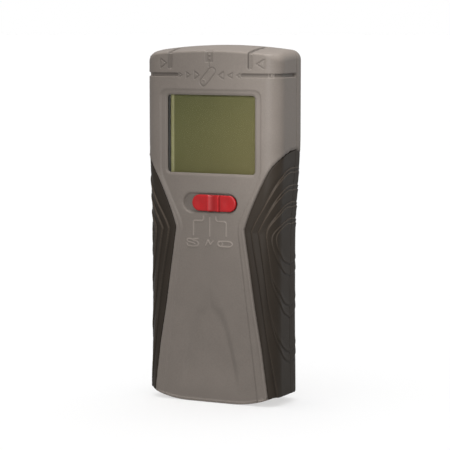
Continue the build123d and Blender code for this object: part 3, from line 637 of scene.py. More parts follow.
def front_shell():
    u = column_steps(90, 18, 13)
    wall_z = spaced([5.0, 74, 107, 112, 117, 150.5, 157, 173.4], [1.15, 0.34, 0.8, 0.45, 1.3, 0.4, 0.27])
    (p, q, sunk, deep), n, size, grid = shell_layers(front_outline, u, wall_z, 14)
    x, y = p[:, 0], p[:, 1]
    z = np.clip(p[:, 2], WALL_LOW, 172)
    s = front_distance(size, z)
    d = front_distance(np.full(len(p), 3.0), z) - s
    height, tone = front_relief(p, s, d, n)
    z = p[:, 2]
    grip = grip_edge_distance(s, z)
    height = height * (grip > -0.2)
    wall_part = smooth((z - foot(x, 0)) / 0.5)
    under = inside(grip + 0.05, 0.25) * wall_part
    height += 0.3 * smooth(1 - np.abs(grip - 1.0) / 1.0) * (grip > 0) * wall_part
    height -= 0.35 * smooth(1 - (grip - 0.05) / 0.55) ** 2 * (grip > 0) * wall_part
    height -= 0.28 * smooth(1 - d / 0.4) * (under < 0.5)
    # painted shade on the housing along the grips' edges
    tone -= 0.35 * under
    slider = recess_distance(x, z)
    face = y < -8
    floor = inside(slider, 0.34) * face
    height -= 0.6 * smooth(1 - slider / 1.0) ** 2 * face * (slider > 0)
    moved = bedded(p, n, height, sunk, under)
    moved[:, 1] = np.where(face, moved[:, 1] * (1 - floor) + SLIDER_FLOOR_Y * floor, moved[:, 1])
    moved[:, 0] = np.clip(moved[:, 0], -HALF_WIDTH, HALF_WIDTH)
    # painted highlight on the rim round the slider's recess, painted shade on the recess floor
    tone += 0.18 * inside(np.abs(slider - 0.4) - 0.15, 0.5) * face - 0.12 * floor
    opening = to_box(x, z, *OPENING)
    near = smooth(1 - (np.abs(opening) - 1.5) / 2.0) * face
    q[:, 1] = q[:, 1] * (1 - near) + OPENING_BACK_Y * near
    thick = inside(slider - 1.6, 1.0) * face
    q[:, 1] = np.where(face, q[:, 1] * (1 - thick) + RECESS_BACK_Y * thick, q[:, 1])
    q = np.where(under[:, None] > 0.9, deep, q)
    hole = np.where((x < 0) & (size > 1.6) & (np.abs(z - BUTTON_Z) < 20), button_distance(y, z), 5.0)
    stem = to_box(x, z, 0, SLIDER_Z, 5.9, 1.95, 0.5)
    keep = np.minimum(np.where(face, np.minimum(opening, stem), 5.0), hole)
    data, faces = kept(np.hstack([moved, q, tone[:, None]]), grid, keep)
    return closed_sheet("front_shell", data[:, :3], data[:, 3:6], faces, data[:, 6], 0.08)


def rear_relief(p, d):
    """Height of the rear shell's details above its plain surface, and their tone."""
    x, y, z = p[:, 0], p[:, 1], p[:, 2]
    back = y > 10
    height = np.zeros(len(p))
    tone = np.ones(len(p))
    for cx, cz in SCREW_SPOTS:
        around = np.hypot(x - cx, z - cz)
        height -= 0.3 * smooth(1 - (around - SCREW_HOLE) / 0.7) ** 2 * back
    for cx in (-PAD_X, PAD_X):
        pad = to_segment(x, z, (cx, PAD_LOW), (cx, PAD_HIGH)) - PAD_HALF - 0.4
        height -= 0.25 * inside(pad, 0.5) * back
    panel = to_box(x, z, 0, 147.5, 15.0, 13.0, 3.0)
    height -= 0.4 * inside(panel, 0.9) * back
    height += 0.35 * bars(x, z, 8.0, (141.5, 147.5, 153.5), 1.0, 0.6) * back
    height += 0.4 * bars(x, z, 13.0, range(80, 105, 4), 0.9, 1.0) * back
    height -= 0.28 * smooth(1 - d / 0.4)
    return height, tone


def rear_grip_distance(d, z, x):
    """Signed distance to the rear grip's edge, negative on the grip."""
    size = np.abs(x)
    limit = np.interp(z, [0.0, 86.9, 105.0, 118.5, 128.0], [33.2, 28.8, 32.0, 35.4, 36.4])
    top = 125.8 - 3.0 * np.clip(d / 10, 0, 2) ** 1.4
    return np.maximum(limit - size, z - top)


def rear_shell():
    u = column_steps(38, 14, 12)
    wall_z = spaced([5.0, 9, 16, 60, 72, 110, 132, 162, 170, 174.6],
                    [0.5, 0.5, 1.4, 0.7, 0.8, 1.1, 0.7, 0.5, 0.7])
    (p, q, sunk, deep), n, size, grid = shell_layers(rear_outline, u, wall_z, 10, flipped=True)
    x, y = p[:, 0], p[:, 1]
    z = np.clip(p[:, 2], WALL_LOW, 172)
    w, r = half_width(z), rear_radius(z)
    side = rear_y(z) - r - seam_y(z)
    past_side = np.where(size > 1, (2 - size) * r * math.pi / 2, r * math.pi / 2 + (1 - size) * (w - r))
    d = np.where(size > 2, (3 - size) * side, side + past_side)
    height, tone = rear_relief(p, d)
    z = p[:, 2]
    grip = rear_grip_distance(d, z, x)
    wall_part = smooth((z - foot(x, 0)) / 0.5)
    under = inside(grip + 0.05, 0.3) * wall_part
    height = height * (grip > 0) * wall_part
    height -= 0.3 * smooth(1 - (grip - 0.05) / 0.5) ** 2 * (grip > 0) * wall_part
    # painted shade on the housing along the grips' edges
    tone -= 0.35 * under
    moved = bedded(p, n, height, sunk, under)
    q = np.where(under[:, None] > 0.9, deep, q)
    keep = to_box(x, z, 0, (DOOR_LOW + DOOR_HIGH) / 2, DOOR_HALF + DOOR_GAP,
                  (DOOR_HIGH - DOOR_LOW) / 2 + DOOR_GAP, 0.8)
    for cx, cz in SCREW_SPOTS:
        keep = np.minimum(keep, np.hypot(x - cx, z - cz) - SCREW_HOLE)
    keep = np.where(y > 10, keep, 5.0)
    data, faces = kept(np.hstack([moved, q, tone[:, None]]), grid, keep)
    return closed_sheet("rear_shell", data[:, :3], data[:, 3:6], faces, data[:, 6], 0.1)


# ---------------------------------------------------------------- grips
RIDGE_SHAPES = []
for line in RIDGES:
    half = [tuple(p) for p in flowing(line, 6)]
    RIDGE_SHAPES.append(half + [(-a, b) for a, b in reversed(half)])


def ridge_relief(d, z):
    """Terraces: a short step up at each ridge line and a slow fall beyond it, with a painted highlight along
    each crest and a painted shade line at each step's foot.
    """
    height, tone = np.zeros(d.shape), np.ones(d.shape)
    for shape in RIDGE_SHAPES:
        away = to_shape(d, z, shape)
        height += 0.46 * (inside(away, 0.36) - inside(away, 6.0))
        upper = smooth((z - 70.0) / 25.0)  # painted highlight along the crests, brightest on the upper half, where light from above catches them
        tone += (0.55 + 1.3 * upper) * inside(np.abs(away + 0.12) - 0.08, 0.3)
        # painted shade along the foot of each step, weaker on the upper half
        tone -= 0.4 * inside(np.abs(away - 0.3) - 0.1, 0.35) * (1 - 0.6 * upper)
    return height, tone


def grip_sheet(name, distance, z, place_at, edge, left, hole=False):
    """One grip: a rubber sheet on the body, with its ridges."""
    grid_d, grid_z = np.meshgrid(distance, z)
    x, y = place_at(grid_d, grid_z, 0.0)
    grid = np.stack([x, y, grid_z], axis=2)
    rows, columns = grid_d.shape
    n = normals(grid)
    if n[rows // 2, columns // 2, 0] < 0:
        n = -n
    d, level = grid_d.reshape(-1), grid_z.reshape(-1)
    border = edge(d, level, x.reshape(-1))
    height, tone = ridge_relief(d, level)
    height *= smooth(-border / 2.5)
    # the painted highlights and painted shade fade out towards the grip's edge
    tone = 1 + (tone - 1) * smooth(-border / 2.5)
    height -= 0.1 + 0.5 * smooth(1 + border / 0.6) ** 2
    height -= 0.08 * smooth(1 - d / 0.3)
    height -= 0.2 * smooth(1 - (level - foot(x.reshape(-1), 0)) / 0.6) ** 2
    p = grid.reshape(-1, 3)
    keep = np.minimum(-border - 0.14, level - foot(p[:, 0], 0) - 0.05)
    if hole:
        away = button_distance(p[:, 1], p[:, 2])
        height -= 0.35 * smooth(1 - away / 0.7) ** 2
        keep = np.minimum(keep, away)
    moved = p + n.reshape(-1, 3) * height[:, None]
    back = p - n.reshape(-1, 3) * (GRIP_DEPTH - 0.02)
    data = np.hstack([moved, back, tone[:, None]])
    if left:
        data[:, 0] *= -1
        data[:, 3] *= -1
    data, faces = kept(data, outward(data, grid_faces(rows, columns)), keep)
    return closed_sheet(name, data[:, :3], data[:, 3:6], faces, data[:, 6], 0.08)


def front_grip(name, left):
    def place_at(d, z, inset):
        total = front_distance(np.full(d.shape, 3.0), z)
        return front_place(total - d, z, inset)

    def edge(d, z, x):
        return grip_edge_distance(front_distance(np.full(d.shape, 3.0), z) - d, z)

    distance = spaced([0.05, 0.45, 33.5], [0.1, 0.27])
    z = spaced([2.4, 6.0, 60, 118, 127.0], [0.3, 0.36, 0.27, 0.27])
    return grip_sheet(name, distance, z, place_at, edge, left, hole=left)


def rear_grip(name, left):
    distance = spaced([0.05, 0.45, 17.0], [0.1, 0.3])
    z = spaced([3.6, 6.0, 60, 118, 127.0], [0.3, 0.4, 0.3, 0.3])
    return grip_sheet(name, distance, z, rear_place, rear_grip_distance, left)


# ---------------------------------------------------------------- smaller pieces
def relief_solid(name, across, up, build, keep_at, tone_at=None):
    """Solid with a shaped face: build gives the outer and inner point at each place of a flat grid."""
    u, v = np.meshgrid(across, up)
    rows, columns = u.shape
    u, v = u.reshape(-1), v.reshape(-1)
    outer, inner = build(u, v)
    tone = tone_at(u, v) if tone_at else np.ones(len(u))
    data = np.hstack([np.stack(outer, axis=1), np.stack(inner, axis=1), tone[:, None]])
    data, faces = kept(data, outward(data, grid_faces(rows, columns)), keep_at(u, v))
    return closed_sheet(name, data[:, :3], data[:, 3:6], faces, data[:, 6])


def rounded_rim(depth, r):
    """How far a face falls back near its rim, for a rim rounded with radius r."""
    t = np.clip(1 - depth / r, 0, 1)
    return r * (1 - np.sqrt(1 - t * t))


def loops_solid(name, loops, tone=1.0, wrapped=False):
    """Closed solid through loops of points: capped at both ends, or wrapped round to its first loop."""
    count, last = len(loops[0]), len(loops) - 1
    faces = [] if wrapped else [list(range(count))[::-1]]
    for k in range(len(loops) if wrapped else last):
        low, high = k * count, (k + 1) % len(loops) * count
        faces += [[low + i, low + (i + 1) % count, high + (i + 1) % count, high + i] for i in range(count)]
    if not wrapped:
        faces.append([last * count + i for i in range(count)])
    mesh = bpy.data.meshes.new(name)
    points = np.concatenate([np.array(loop, float) for loop in loops])
    mesh.from_pydata((points * MM).tolist(), [], faces)
    work = bmesh.new()
    work.from_mesh(mesh)
    bmesh.ops.recalc_face_normals(work, faces=work.faces)
    for edge in work.edges:
        edge.smooth = edge.calc_face_angle(0) < SHARP_ANGLE
    work.to_mesh(mesh)
    work.free()
    shade_smooth(mesh)
    set_tone(mesh, np.full(len(mesh.vertices), tone))
    return link_object(name, mesh)


def ring(x, z, radius, y):
    """Circle facing along Y."""
    return [(x + radius * math.cos(a), y, z + radius * math.sin(a)) for a in turns(32)]


def frame_loop(half_x, low, high, y, r, middle_x=0.0):
    """Rounded rectangle in X and Z."""
    points = []
    for sx, cz, start in ((1, high - r, 0), (-1, high - r, 90), (-1, low + r, 180), (1, low + r, 270)):
        for a in np.radians(np.linspace(start, start + 90, 5)):
            points.append((middle_x + sx * (half_x - r) + r * math.cos(a), y, cz + r * math.sin(a)))
    return points


def joined(name, pieces):
    """One object from several."""
    work = bmesh.new()
    for piece in pieces:
        work.from_mesh(piece.data)
    mesh = bpy.data.meshes.new(name)
    work.to_mesh(mesh)
    work.free()
    for piece in pieces:
        bpy.data.objects.remove(piece)
    return link_object(name, mesh)


def cut_away(piece, cutter):
    """The piece without the cutter's volume."""
    change = piece.modifiers.new("cut", "BOOLEAN")
    change.operation = "DIFFERENCE"
    change.solver = "EXACT"
    change.object = cutter
    apply_modifiers(piece)
    bpy.data.objects.remove(cutter)
    return piece


def knob():
    """Slider cap: rounded rim, low ends with a shallow dish, and a raised bar with a valley."""
    reach = KNOB_HALF - KNOB_HIGH

    def rim(x, z):
        return KNOB_HIGH - to_segment(x, z, (KNOB_X - reach, SLIDER_Z), (KNOB_X + reach, SLIDER_Z))

    def build(x, z):
        off = np.abs(x - KNOB_X)
        valley = np.where(off < 4.9, -21.1 + np.sqrt(np.maximum(25 - off**2, 0)), -99)
        bar = np.maximum(KNOB_PROUD_Y, valley)
        dish = 0.3 * smooth(1 - np.hypot(off - 7.6, (z - SLIDER_Z) * 0.9) / 3.4)
        on_bar = inside(off - 3.3, 0.45)
        y = bar * on_bar + (KNOB_FLAT_Y + dish) * (1 - on_bar) + rounded_rim(rim(x, z), 0.7)
        return (x, y, z), (x, np.full(x.shape, SLIDER_FLOOR_Y - 0.2), z)

    def tone_at(x, z):
        # painted highlight on the bar's crests, painted shade on its outer flanks and in the valley between
        # them
        off = np.abs(x - KNOB_X)
        crest = inside(np.abs(off - 2.75) - 0.2, 0.5)
        flank = inside(np.abs(off - 3.5) - 0.15, 0.4)
        return 1 + 0.3 * crest - 0.4 * flank - 0.22 * inside(off - 1.2, 1.6)

    across = spaced([KNOB_X - KNOB_HALF - 0.2, KNOB_X + KNOB_HALF + 0.2], [0.16])
    cap = relief_solid("cap", across, spaced([95.2, 103.8], [0.16]), build, rim, tone_at)
    levels = ((3.2, 1.6, -14.0), (3.2, 1.6, -12.8), (3.0, 1.4, -12.6))
    stem = [frame_loop(half, SLIDER_Z - high, SLIDER_Z + high, y, 0.5, KNOB_X) for half, high, y in levels]
    return joined("knob", [cap, loops_solid("stem", stem)])


def button():
    """Side button: long oval with a rounded rim, a dished face and three grip bars, on a hidden flange."""
    def rim(y, z):
        return -button_distance(y, z) - BUTTON_GAP

    def build(y, z):
        depth = rim(y, z)
        face = BUTTON_FACE_X - rounded_rim(depth, 0.6) - 0.3 * smooth((depth - 0.9) / 1.2)
        for bar_z in (BUTTON_Z - 2.0, BUTTON_Z, BUTTON_Z + 2.0):
            bar = to_segment(y, z, (BUTTON_Y - 1.1, bar_z), (BUTTON_Y + 1.1, bar_z)) - 0.28
            face += 0.28 * inside(bar, 0.3)
        return (-face, y, z), (np.full(y.shape, -32.1), y, z)

    across = spaced([BUTTON_Y - 3.2, BUTTON_Y + 3.2], [0.13])
    cap = relief_solid("cap", across, spaced([92.8, 107.2], [0.13]), build, rim)
    flange = []
    for x, r in ((-32.2, 3.5), (-32.0, 3.8), (-31.6, 3.8), (-31.4, 3.6)):
        ends = [(r * math.sin(a), math.copysign(4.2, math.cos(a)) + r * math.cos(a)) for a in turns(40, 0.05)]
        flange.append([(x, BUTTON_Y + dy, BUTTON_Z + dz) for dy, dz in ends])
    return joined("side_button", [cap, loops_solid("flange", flange)])


def door():
    """Battery door: rounded plate with a recessed field, chevrons, a ribbed thumb hollow and a hinge roll."""
    def rim(x, z):
        return np.minimum(DOOR_HALF - np.abs(x), np.minimum(z - DOOR_LOW - 0.01, DOOR_HIGH - z))

    def build(x, z):
        y = HANDLE_REAR_Y - rounded_rim(np.minimum(DOOR_HALF - np.abs(x), DOOR_HIGH - z), 0.5)
        y = y - 0.3 * inside(to_box(x, z, 0, 34.0, 13.2, 16.0, 2.0), 0.6)
        for tip in (46.0, 43.4, 40.8):
            line = to_line(x, z, [(-4.0, tip - 3.0), (0.0, tip), (4.0, tip - 3.0)]) - 0.42
            y = y + 0.28 * inside(line, 0.4)
        y = y + 0.28 * bars(x, z, 9.0, (21.0, 24.0, 27.0, 30.0), 0.5, 0.5)
        y = y - 1.0 * smooth(1 - np.hypot(x, z - THUMB_Z) / 5.4) ** 0.8
        y = y + 0.22 * bars(x, z, 2.6, (THUMB_Z - 2.0, THUMB_Z, THUMB_Z + 2.0), 0.3, 0.35)
        y = np.minimum(y, HANDLE_REAR_Y)
        roll = np.sqrt(np.maximum(HINGE_RADIUS**2 - (z - HINGE_Z) ** 2, 0))
        y = np.where(z < HINGE_Z, HINGE_Y + roll, y)
        inner = np.where(z < HINGE_Z + HINGE_RADIUS, np.minimum(DOOR_INNER_Y, HINGE_Y - roll), DOOR_INNER_Y)
        return (x, y, z), (x, inner, z)

    up = spaced([5.9, 8.6, 66.2], [0.12, 0.24])
    pieces = [relief_solid("plate", spaced([-16.6, 16.6], [0.24]), up, build, rim)]
    for side in (-1, 1):
        pin = [[(side * x, HINGE_Y + r * math.cos(a), HINGE_Z + r * math.sin(a)) for a in turns(16)]
               for x, r in ((16.2, 0.7), (16.55, 0.7), (16.65, 0.6))]
        pieces.append(loops_solid("pin", pin))
    return joined("door", pieces)


def battery_bay():
    """Tray behind the door: flanged mouth, rounded corners, and a notch for the leads."""
    levels = [(14.0, 6.4, 64.7, -6.6, 1.0), (14.1, 6.3, 64.8, -6.2, 1.0), (14.1, 6.3, 64.8, 11.9, 1.0),
              (14.5, 6.1, 65.1, 12.5, 1.3), (17.3, 4.9, 66.9, 12.5, 1.6), (17.3, 4.9, 66.9, 11.3, 1.6),
              (15.3, 5.1, 66.0, 11.0, 1.6), (15.3, 5.1, 66.0, -7.4, 1.6), (14.9, 5.5, 65.6, -7.8, 1.6)]
    tray = loops_solid("battery_bay", [frame_loop(*level) for level in levels])
    notch = loops_solid("notch", [frame_loop(9.0, 63.0, 68.0, y, 0.6) for y in (-9.6, 6.0)])
    return cut_away(tray, notch)


def screw_seats():
    """Sleeves behind the four screw holes, each with a flat seat."""
    seats = []
    for x, z in SCREW_SPOTS:
        top = 13.4 if z < 100 else 14.6
        profile = [(2.72, top), (2.72, 11.2), (2.5, 11.0), (1.5, 11.0), (1.5, 7.2), (3.8, 7.0), (3.8, top)]
        # the seats are a little darker than the housing: painted shade inside the screw holes
        seats.append(loops_solid("seat", [ring(x, z, r, y) for r, y in profile], 0.9, wrapped=True))
    return joined("screw_seats", seats)


def weave(x, z, size, seed):
    """Uneven fibre or cell surface, from sums of waves at turned angles."""
    rng = np.random.default_rng(seed)
    total = np.zeros(x.shape)
    for _ in range(14):
        angle, phase = rng.uniform(0, math.pi), rng.uniform(0, 2 * math.pi)
        step = size * rng.uniform(0.7, 1.6)
        total += np.sin((x * math.cos(angle) + z * math.sin(angle)) * 2 * math.pi / step + phase)
    return total / 14


def glide_pad(name, cx):
    """Felt pad: crowned, with a soft rounded rim and a fibrous face."""
    def rim(x, z):
        return PAD_HALF - to_segment(x, z, (cx, PAD_LOW), (cx, PAD_HIGH))

    def build(x, z):
        depth = rim(x, z)
        crown_fall = 0.12 * (1 - smooth(depth / PAD_HALF))
        y = 16.72 - rounded_rim(depth, 0.55) - crown_fall + 0.06 * weave(x, z, 0.9, 5)
        return (x, np.minimum(y, 16.8), z), (x, np.full(x.shape, 15.8), z)

    up = spaced([PAD_LOW - 2.7, PAD_HIGH + 2.7], [0.15])
    return relief_solid(name, spaced([cx - 2.7, cx + 2.7], [0.15]), up, build, rim)


def foam_pad():
    """Foam strip on the door's inner face: crowned, with rounded corners and open cells."""
    def rim(x, z):
        return -to_box(x, z, 0, 31.0, 9.0, 15.0, 1.0)

    def build(x, z):
        depth = rim(x, z)
        y = 11.62 + rounded_rim(depth, 0.6) + 0.1 * (1 - smooth(depth / 6)) - 0.08 * weave(x, z, 1.2, 9)
        return (x, np.maximum(y, 11.6), z), (x, np.full(x.shape, DOOR_INNER_Y), z)

    return relief_solid("foam_pad", spaced([-9.2, 9.2], [0.25]), spaced([15.8, 46.2], [0.25]), build, rim)


def wire(name, side):
    """Insulated lead from the battery snap to the board, with a slight wave."""
    points = flowing([(side * 4.0, 3.55, 58.4), (side * 4.0, 3.55, 62.2), (side * 4.6, 1.55, 66.6),
                      (side * 5.6, -0.85, 72.2), (side * 6.2, -1.85, 78.6), (side * 6.2, -3.4, 82.6),
                      (side * 6.2, -5.2, 84.0)])
    loops = []
    for i, p in enumerate(points):
        along = points[min(i + 1, len(points) - 1)] - points[max(i - 1, 0)]
        along = along / np.linalg.norm(along)
        sideways = np.cross(along, (1.0, 0.0, 0.0))
        sideways = sideways / np.linalg.norm(sideways)
        other = np.cross(along, sideways)
        r = 0.6 if 0 < i < len(points) - 2 else 0.52
        loops.append([p + r * (math.cos(a) * sideways + math.sin(a) * other) for a in turns(16)])
    return loops_solid(name, loops)


# ---------------------------------------------------------------- materials
def socket(shader, name, value):
    shader.inputs[name].default_value = value


def linear(r, g, b):
    """Colour given as 0 to 255 screen values."""
    return tuple((c / 255 / 12.92) if c < 11 else ((c / 255 + 0.055) / 1.055) ** 2.4 for c in (r, g, b))


def node_of(tree, kind):
    return next(node for node in tree.nodes if node.type == kind)


def ramp(tree, source, positions, colours):
    """Blend between two colours over a range of the source."""
    node = tree.nodes.new("ShaderNodeValToRGB")
    for element, position, colour in zip(node.color_ramp.elements, positions, colours):
        element.position = position
        element.color = (*colour, 1)
    tree.links.new(source, node.inputs[0])
    return node.outputs[0]


def map_range(tree, source, from_low, from_high, to_low, to_high):
    """Straight change of a value from one range to another."""
    node = tree.nodes.new("ShaderNodeMapRange")
    limits = {"From Min": from_low, "From Max": from_high, "To Min": to_low, "To Max": to_high}
    for name, value in limits.items():
        socket(node, name, value)
    tree.links.new(source, node.inputs["Value"])
    return node.outputs[0]


def arithmetic(tree, operation, *values):
    """Math on sockets and plain numbers."""
    node = tree.nodes.new("ShaderNodeMath")
    node.operation = operation
    for place_in, value in zip(node.inputs, values):
        if isinstance(value, float):
            place_in.default_value = value
        else:
            tree.links.new(value, place_in)
    return node.outputs[0]


def finish_material(name, colour, rough, spread=0.08, grain=2500.0, bump=0.12, depth=0.00004, patch=90.0,
                    metallic=0.0, specular=0.5, streak=None, coat=0.0, sheen=0.0, tone=False, contrast=0.06):
    """Moulded or coated surface: fine grain, slow colour drift and uneven gloss, all from noise."""
    material = bpy.data.materials.new(name)
    material.use_nodes = True
    tree = material.node_tree
    tree.nodes.clear()
    out = tree.nodes.new("ShaderNodeOutputMaterial")
    shader = tree.nodes.new("ShaderNodeBsdfPrincipled")
    tree.links.new(shader.outputs[0], out.inputs[0])
    socket(shader, "Metallic", metallic)
    socket(shader, "Specular IOR Level", specular)
    socket(shader, "Coat Weight", coat)
    socket(shader, "Sheen Weight", sheen)
    source = tree.nodes.new("ShaderNodeTexCoord").outputs["Object"]
    if streak:
        stretch = tree.nodes.new("ShaderNodeMapping")
        socket(stretch, "Scale", streak)
        tree.links.new(source, stretch.inputs[0])
        source = stretch.outputs[0]

    def noise(scale, detail):
        node = tree.nodes.new("ShaderNodeTexNoise")
        socket(node, "Scale", scale)
        socket(node, "Detail", detail)
        tree.links.new(source, node.inputs["Vector"])
        return node.outputs["Fac"]

    fine, slow = noise(grain, 3.0), noise(patch, 2.0)
    plain = linear(*colour)
    drift = ramp(tree, slow, (0.3, 0.7), ([c * (1 - spread) for c in plain],
                                          [min(c * (1 + spread), 1) for c in plain]))
    factor = map_range(tree, fine, 0.3, 0.7, 1 - contrast, 1 + contrast)
    # the tone attribute scales the colour: painted highlights and painted shade worked out on the meshes
    if tone:
        lift = tree.nodes.new("ShaderNodeAttribute")
        lift.attribute_name = "tone"
        factor = arithmetic(tree, "MULTIPLY", factor, lift.outputs["Fac"])
    scale = tree.nodes.new("ShaderNodeVectorMath")
    scale.operation = "SCALE"
    tree.links.new(drift, scale.inputs[0])
    tree.links.new(factor, scale.inputs["Scale"])
    tree.links.new(scale.outputs[0], shader.inputs["Base Color"])
    gloss = map_range(tree, slow, 0.0, 1.0, max(rough - 0.07, 0.02), min(rough + 0.07, 1.0))
    tree.links.new(gloss, shader.inputs["Roughness"])
    if bump:
        relief = tree.nodes.new("ShaderNodeBump")
        socket(relief, "Strength", bump)
        socket(relief, "Distance", depth)
        tree.links.new(fine, relief.inputs["Height"])
        tree.links.new(relief.outputs[0], shader.inputs["Normal"])
    return material


GREY = finish_material("housing_plastic", (87, 81, 76), 0.5, spread=0.03, grain=1500, bump=0.35,
                       depth=0.00006, specular=0.1, tone=True, contrast=0.05)
RUBBER = finish_material("grip_rubber", (35, 30, 25), 0.55, spread=0.05, grain=2600, bump=0.4,
                         depth=0.00005, specular=0.08, tone=True, contrast=0.07)
RED = finish_material("knob_plastic", (122, 13, 16), 0.4, spread=0.04, grain=1800, bump=0.1,
                      specular=0.2, tone=True)
BLACK = finish_material("black_plastic", (34, 34, 35), 0.5, grain=1700, bump=0.2)
WHITE = finish_material("white_plastic", (222, 220, 212), 0.42, spread=0.03, grain=1700)
FELT = finish_material("glide_felt", (52, 51, 52), 0.95, spread=0.12, grain=5200, bump=0.8,
                       depth=0.0002, sheen=0.4, contrast=0.2)
FOAM = finish_material("cell_foam", (48, 48, 51), 0.95, spread=0.1, grain=3200, bump=0.9,
                       depth=0.0003, contrast=0.25)
STEEL = finish_material("pressed_steel", (190, 190, 188), 0.32, metallic=1.0, streak=(1, 1, 0.05),
                        grain=3500)
ZINC = finish_material("zinc_screw", (150, 148, 142), 0.35, metallic=1.0, grain=4200, bump=0.2)
BOARD = finish_material("solder_mask", (24, 92, 52), 0.33, spread=0.1, grain=900, coat=0.3)
CHIP = finish_material("chip_epoxy", (38, 38, 40), 0.6, grain=3800, bump=0.3)
CAN = finish_material("aluminium_can", (205, 205, 208), 0.28, metallic=1.0, grain=3000,
                      streak=(0.1, 1, 1))
BLUE = finish_material("trimmer_blue", (40, 84, 170), 0.4)
BRASS = finish_material("contact_brass", (214, 178, 96), 0.3, metallic=1.0, grain=3000)
COPPER = finish_material("wound_copper", (190, 112, 66), 0.34, metallic=1.0, streak=(1, 14, 1),
                         grain=600, bump=0.7, depth=0.0002, contrast=0.3)
FERRITE = finish_material("ferrite", (62, 62, 66), 0.55, grain=4000, bump=0.4)
CASE = finish_material("battery_case", (44, 46, 54), 0.35, spread=0.08, grain=900, coat=0.4)
STRIPED = finish_material("striped_rubber", (96, 94, 90), 0.7, streak=(12, 0.2, 0.2), grain=900,
                          contrast=0.5)
FILM = finish_material("reflector_film", (176, 178, 160), 0.3, spread=0.05)
WIRE_RED = finish_material("wire_red", (196, 30, 30), 0.4, grain=1500)
WIRE_BLACK = finish_material("wire_black", (30, 30, 32), 0.4, grain=1500)
GLASS_EDGE = finish_material("display_glass", (104, 102, 70), 0.25, spread=0.06, grain=1200)


def display_material():
    """Olive film with a painted shading gradient, greener at the top left and warmer and a little darker low
    on the right, with a faint cell grain.
    """
    material = finish_material("display_olive", (80, 80, 48), 0.42, spread=0.02, grain=1400, bump=0,
                               contrast=0.02, specular=0.1)
    tree = material.node_tree
    split = tree.nodes.new("ShaderNodeSeparateXYZ")
    tree.links.new(node_of(tree, "TEX_COORD").outputs["Object"], split.inputs[0])
    across = map_range(tree, split.outputs["X"], -0.022, 0.022, 0.0, 1.0)
    down = map_range(tree, split.outputs["Z"], 0.152, 0.114, 0.0, 1.0)
    place_on_film = arithmetic(tree, "MULTIPLY_ADD", across, 0.55, arithmetic(tree, "MULTIPLY", down, 0.45))
    # painted shading gradient over the film
    colour = ramp(tree, place_on_film, (0.0, 1.0), (linear(65, 66, 39), linear(66, 62, 37)))
    tree.links.new(colour, node_of(tree, "VECT_MATH").inputs[0])
    return material


def window_material():
    """Clear pane: see-through, with a thin haze that varies a little over the pane."""
    material = finish_material("clear_window", (104, 100, 76), 0.6, spread=0.02, grain=60, bump=0,
                               contrast=0.02, specular=0.03)
    socket(node_of(material.node_tree, "BSDF_PRINCIPLED"), "Alpha", 0.025)
    return material


OLIVE = display_material()
CLEAR = window_material()

CAD_FINISH = {
    "lcd_window": CLEAR, "lcd_glass": GLASS_EDGE, "lcd_polarizer": OLIVE, "lcd_reflector": FILM,
    "lcd_holder": BLACK, "zebra_connectors": STRIPED, "slider_carrier": BLACK, "slide_switch": STEEL,
    "switch_lever": BLACK, "tact_switch": BLACK, "tact_plunger": WHITE, "main_board": BOARD,
    "controller_chip": CHIP, "amplifier_chips": CHIP, "chip_resistors": CHIP,
    "electrolytic_capacitors": CAN, "crystal": CAN, "voltage_regulator": CHIP, "calibration_trimmer": BLUE,
    "buzzer": BLACK, "board_screws": ZINC, "housing_screws": ZINC, "link_pins": BRASS, "link_headers": BLACK,
    "sensor_board": BOARD, "sensing_plates": BRASS, "coil_bobbin": BLACK, "coil_winding": COPPER,
    "ferrite_core": FERRITE, "voltage_antenna": BRASS, "battery": CASE, "battery_snap": BLACK,
}
for name, material in CAD_FINISH.items():
    mesh = nodes[name].data
    mesh.materials.clear()
    mesh.materials.append(material)
    set_tone(mesh, np.ones(len(mesh.vertices)))

# ---------------------------------------------------------------- pieces
place(front_shell(), "root", GREY, "housing_grey", "front_housing")
place(rear_shell(), "root", GREY, "housing_grey", "rear_housing")
for side, left in (("right", False), ("left", True)):
    place(front_grip("grip_front_" + side, left), "root", RUBBER, "grip_rubber", "front_grip_" + side)
    place(rear_grip("grip_rear_" + side, left), "root", RUBBER, "grip_rubber", "rear_grip_" + side)
place(battery_bay(), "root", GREY, "housing_grey")
place(screw_seats(), "root", GREY, "housing_grey")
place(knob(), "slider", RED, "knob_red", "slider_knob")
place(button(), "button", RED, "knob_red", "power_button")
place(door(), "door", GREY, "housing_grey", "battery_door")
for name, pad_x in (("glide_pad_left", -PAD_X), ("glide_pad_right", PAD_X)):
    pad = place(glide_pad(name, pad_x), "root", FELT, "pad_felt", "glide_pads")
foam = place(foam_pad(), "door", FOAM, "foam_black", "battery_foam")
place(wire("wire_red", 1), "root", WIRE_RED, "wire_red", "lead_red")
place(wire("wire_black", -1), "root", WIRE_BLACK, "wire_black", "lead_black")


# ---------------------------------------------------------------- camera, light and floor
def camera():
    data = bpy.data.cameras.new("camera")
    data.lens = 161.9
    data.sensor_width = 36.0
    data.clip_end = 20.0
    view = link_object("camera", data)
    azimuth, elevation, distance = math.radians(26.63), math.radians(5.924), 1.0119
    target = Vector((0.00108, -0.00062, 0.087335))
    away = Vector((math.sin(azimuth) * math.cos(elevation), -math.cos(azimuth) * math.cos(elevation),
                   math.sin(elevation)))
    view.location = target + away * distance
    view.rotation_euler = away.to_track_quat("Z", "Y").to_euler()
    bpy.context.scene.camera = view


def lamp(name, kind, place_at, aim, power, receivers):
    """Light at one point, aimed at another, that falls only on the objects in a collection."""
    data = bpy.data.lights.new(name, kind)
    data.energy = power
    thing = link_object(name, data)
    thing.location = place_at
    thing.rotation_euler = (Vector(place_at) - Vector(aim)).to_track_quat("Z", "Y").to_euler()
    thing.light_linking.receiver_collection = receivers
    return thing


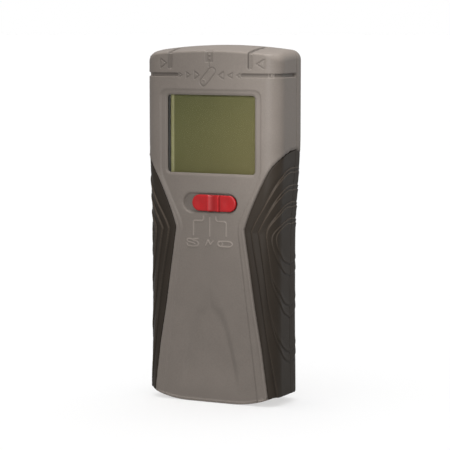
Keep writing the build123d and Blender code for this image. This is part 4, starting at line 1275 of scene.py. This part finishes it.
def pale_floor():
    half = 30.0
    mesh = bpy.data.meshes.new("floor")
    mesh.from_pydata([(-half, -half, 0), (half, -half, 0), (half, half, 0), (-half, half, 0)], [],
                     [(0, 1, 2, 3)])
    floor = link_object("floor", mesh)
    floor.location.z = -0.0002
    pale = bpy.data.materials.new("floor_pale")
    pale.use_nodes = True
    shader = node_of(pale.node_tree, "BSDF_PRINCIPLED")
    socket(shader, "Base Color", (0.93, 0.93, 0.93, 1))
    socket(shader, "Roughness", 0.9)
    socket(shader, "Specular IOR Level", 0.1)
    mesh.materials.append(pale)
    return floor


def sky():
    """Even surroundings, dimmer to the right of the object and white in a band at the horizon."""
    world = bpy.data.worlds.new("studio")
    bpy.context.scene.world = world
    world.use_nodes = True
    tree = world.node_tree
    background = node_of(tree, "BACKGROUND")
    split = tree.nodes.new("ShaderNodeSeparateXYZ")
    tree.links.new(tree.nodes.new("ShaderNodeTexCoord").outputs["Generated"], split.inputs[0])
    colour = ramp(tree, split.outputs["X"], (0.35, 0.95), ((1, 1, 1), (0.2, 0.2, 0.2)))
    strength = ramp(tree, split.outputs["Z"], (0.02, 0.05), ((1, 1, 1), (0.5, 0.5, 0.5)))
    tree.links.new(colour, background.inputs["Color"])
    tree.links.new(strength, background.inputs["Strength"])


def studio():
    floor = pale_floor()
    sky()
    bpy.context.scene.view_settings.view_transform = "Standard"
    spared = bpy.data.collections.new("spared")
    spared.objects.link(floor)
    spared.collection_objects[0].light_linking.link_state = "EXCLUDE"
    for name, place_at, aim, size, power in (
            ("top", (0.1, -0.06, 1.3), (0, 0, 0.15), (0.8, 0.8), 41),
            ("key", (0.36, -1.02, 0.34), (0, 0, 0.08), (0.5, 0.5), 11.5),
            ("rim", (0.5, 0.95, 0.4), (0, 0, 0.1), (0.2, 0.6), 1.5)):
        area = lamp(name, "AREA", place_at, aim, power, spared).data
        area.shape = "RECTANGLE"
        area.size, area.size_y = size
    spot = lamp("accent", "SPOT", (0.14, -0.92, 0.42), (0.072, -0.012, 0.147), 56, spared).data
    spot.spot_size = math.radians(11)
    spot.spot_blend = 1.0
    spot.shadow_soft_size = 0.03
    only_floor = bpy.data.collections.new("only_floor")
    only_floor.objects.link(floor)
    glow = lamp("floor_glow", "SUN", (0, 0, 1), (0, 0, 0), 2.1, only_floor)
    glow.data.angle = math.radians(60)
    glow.light_linking.blocker_collection = only_floor


camera()
studio()
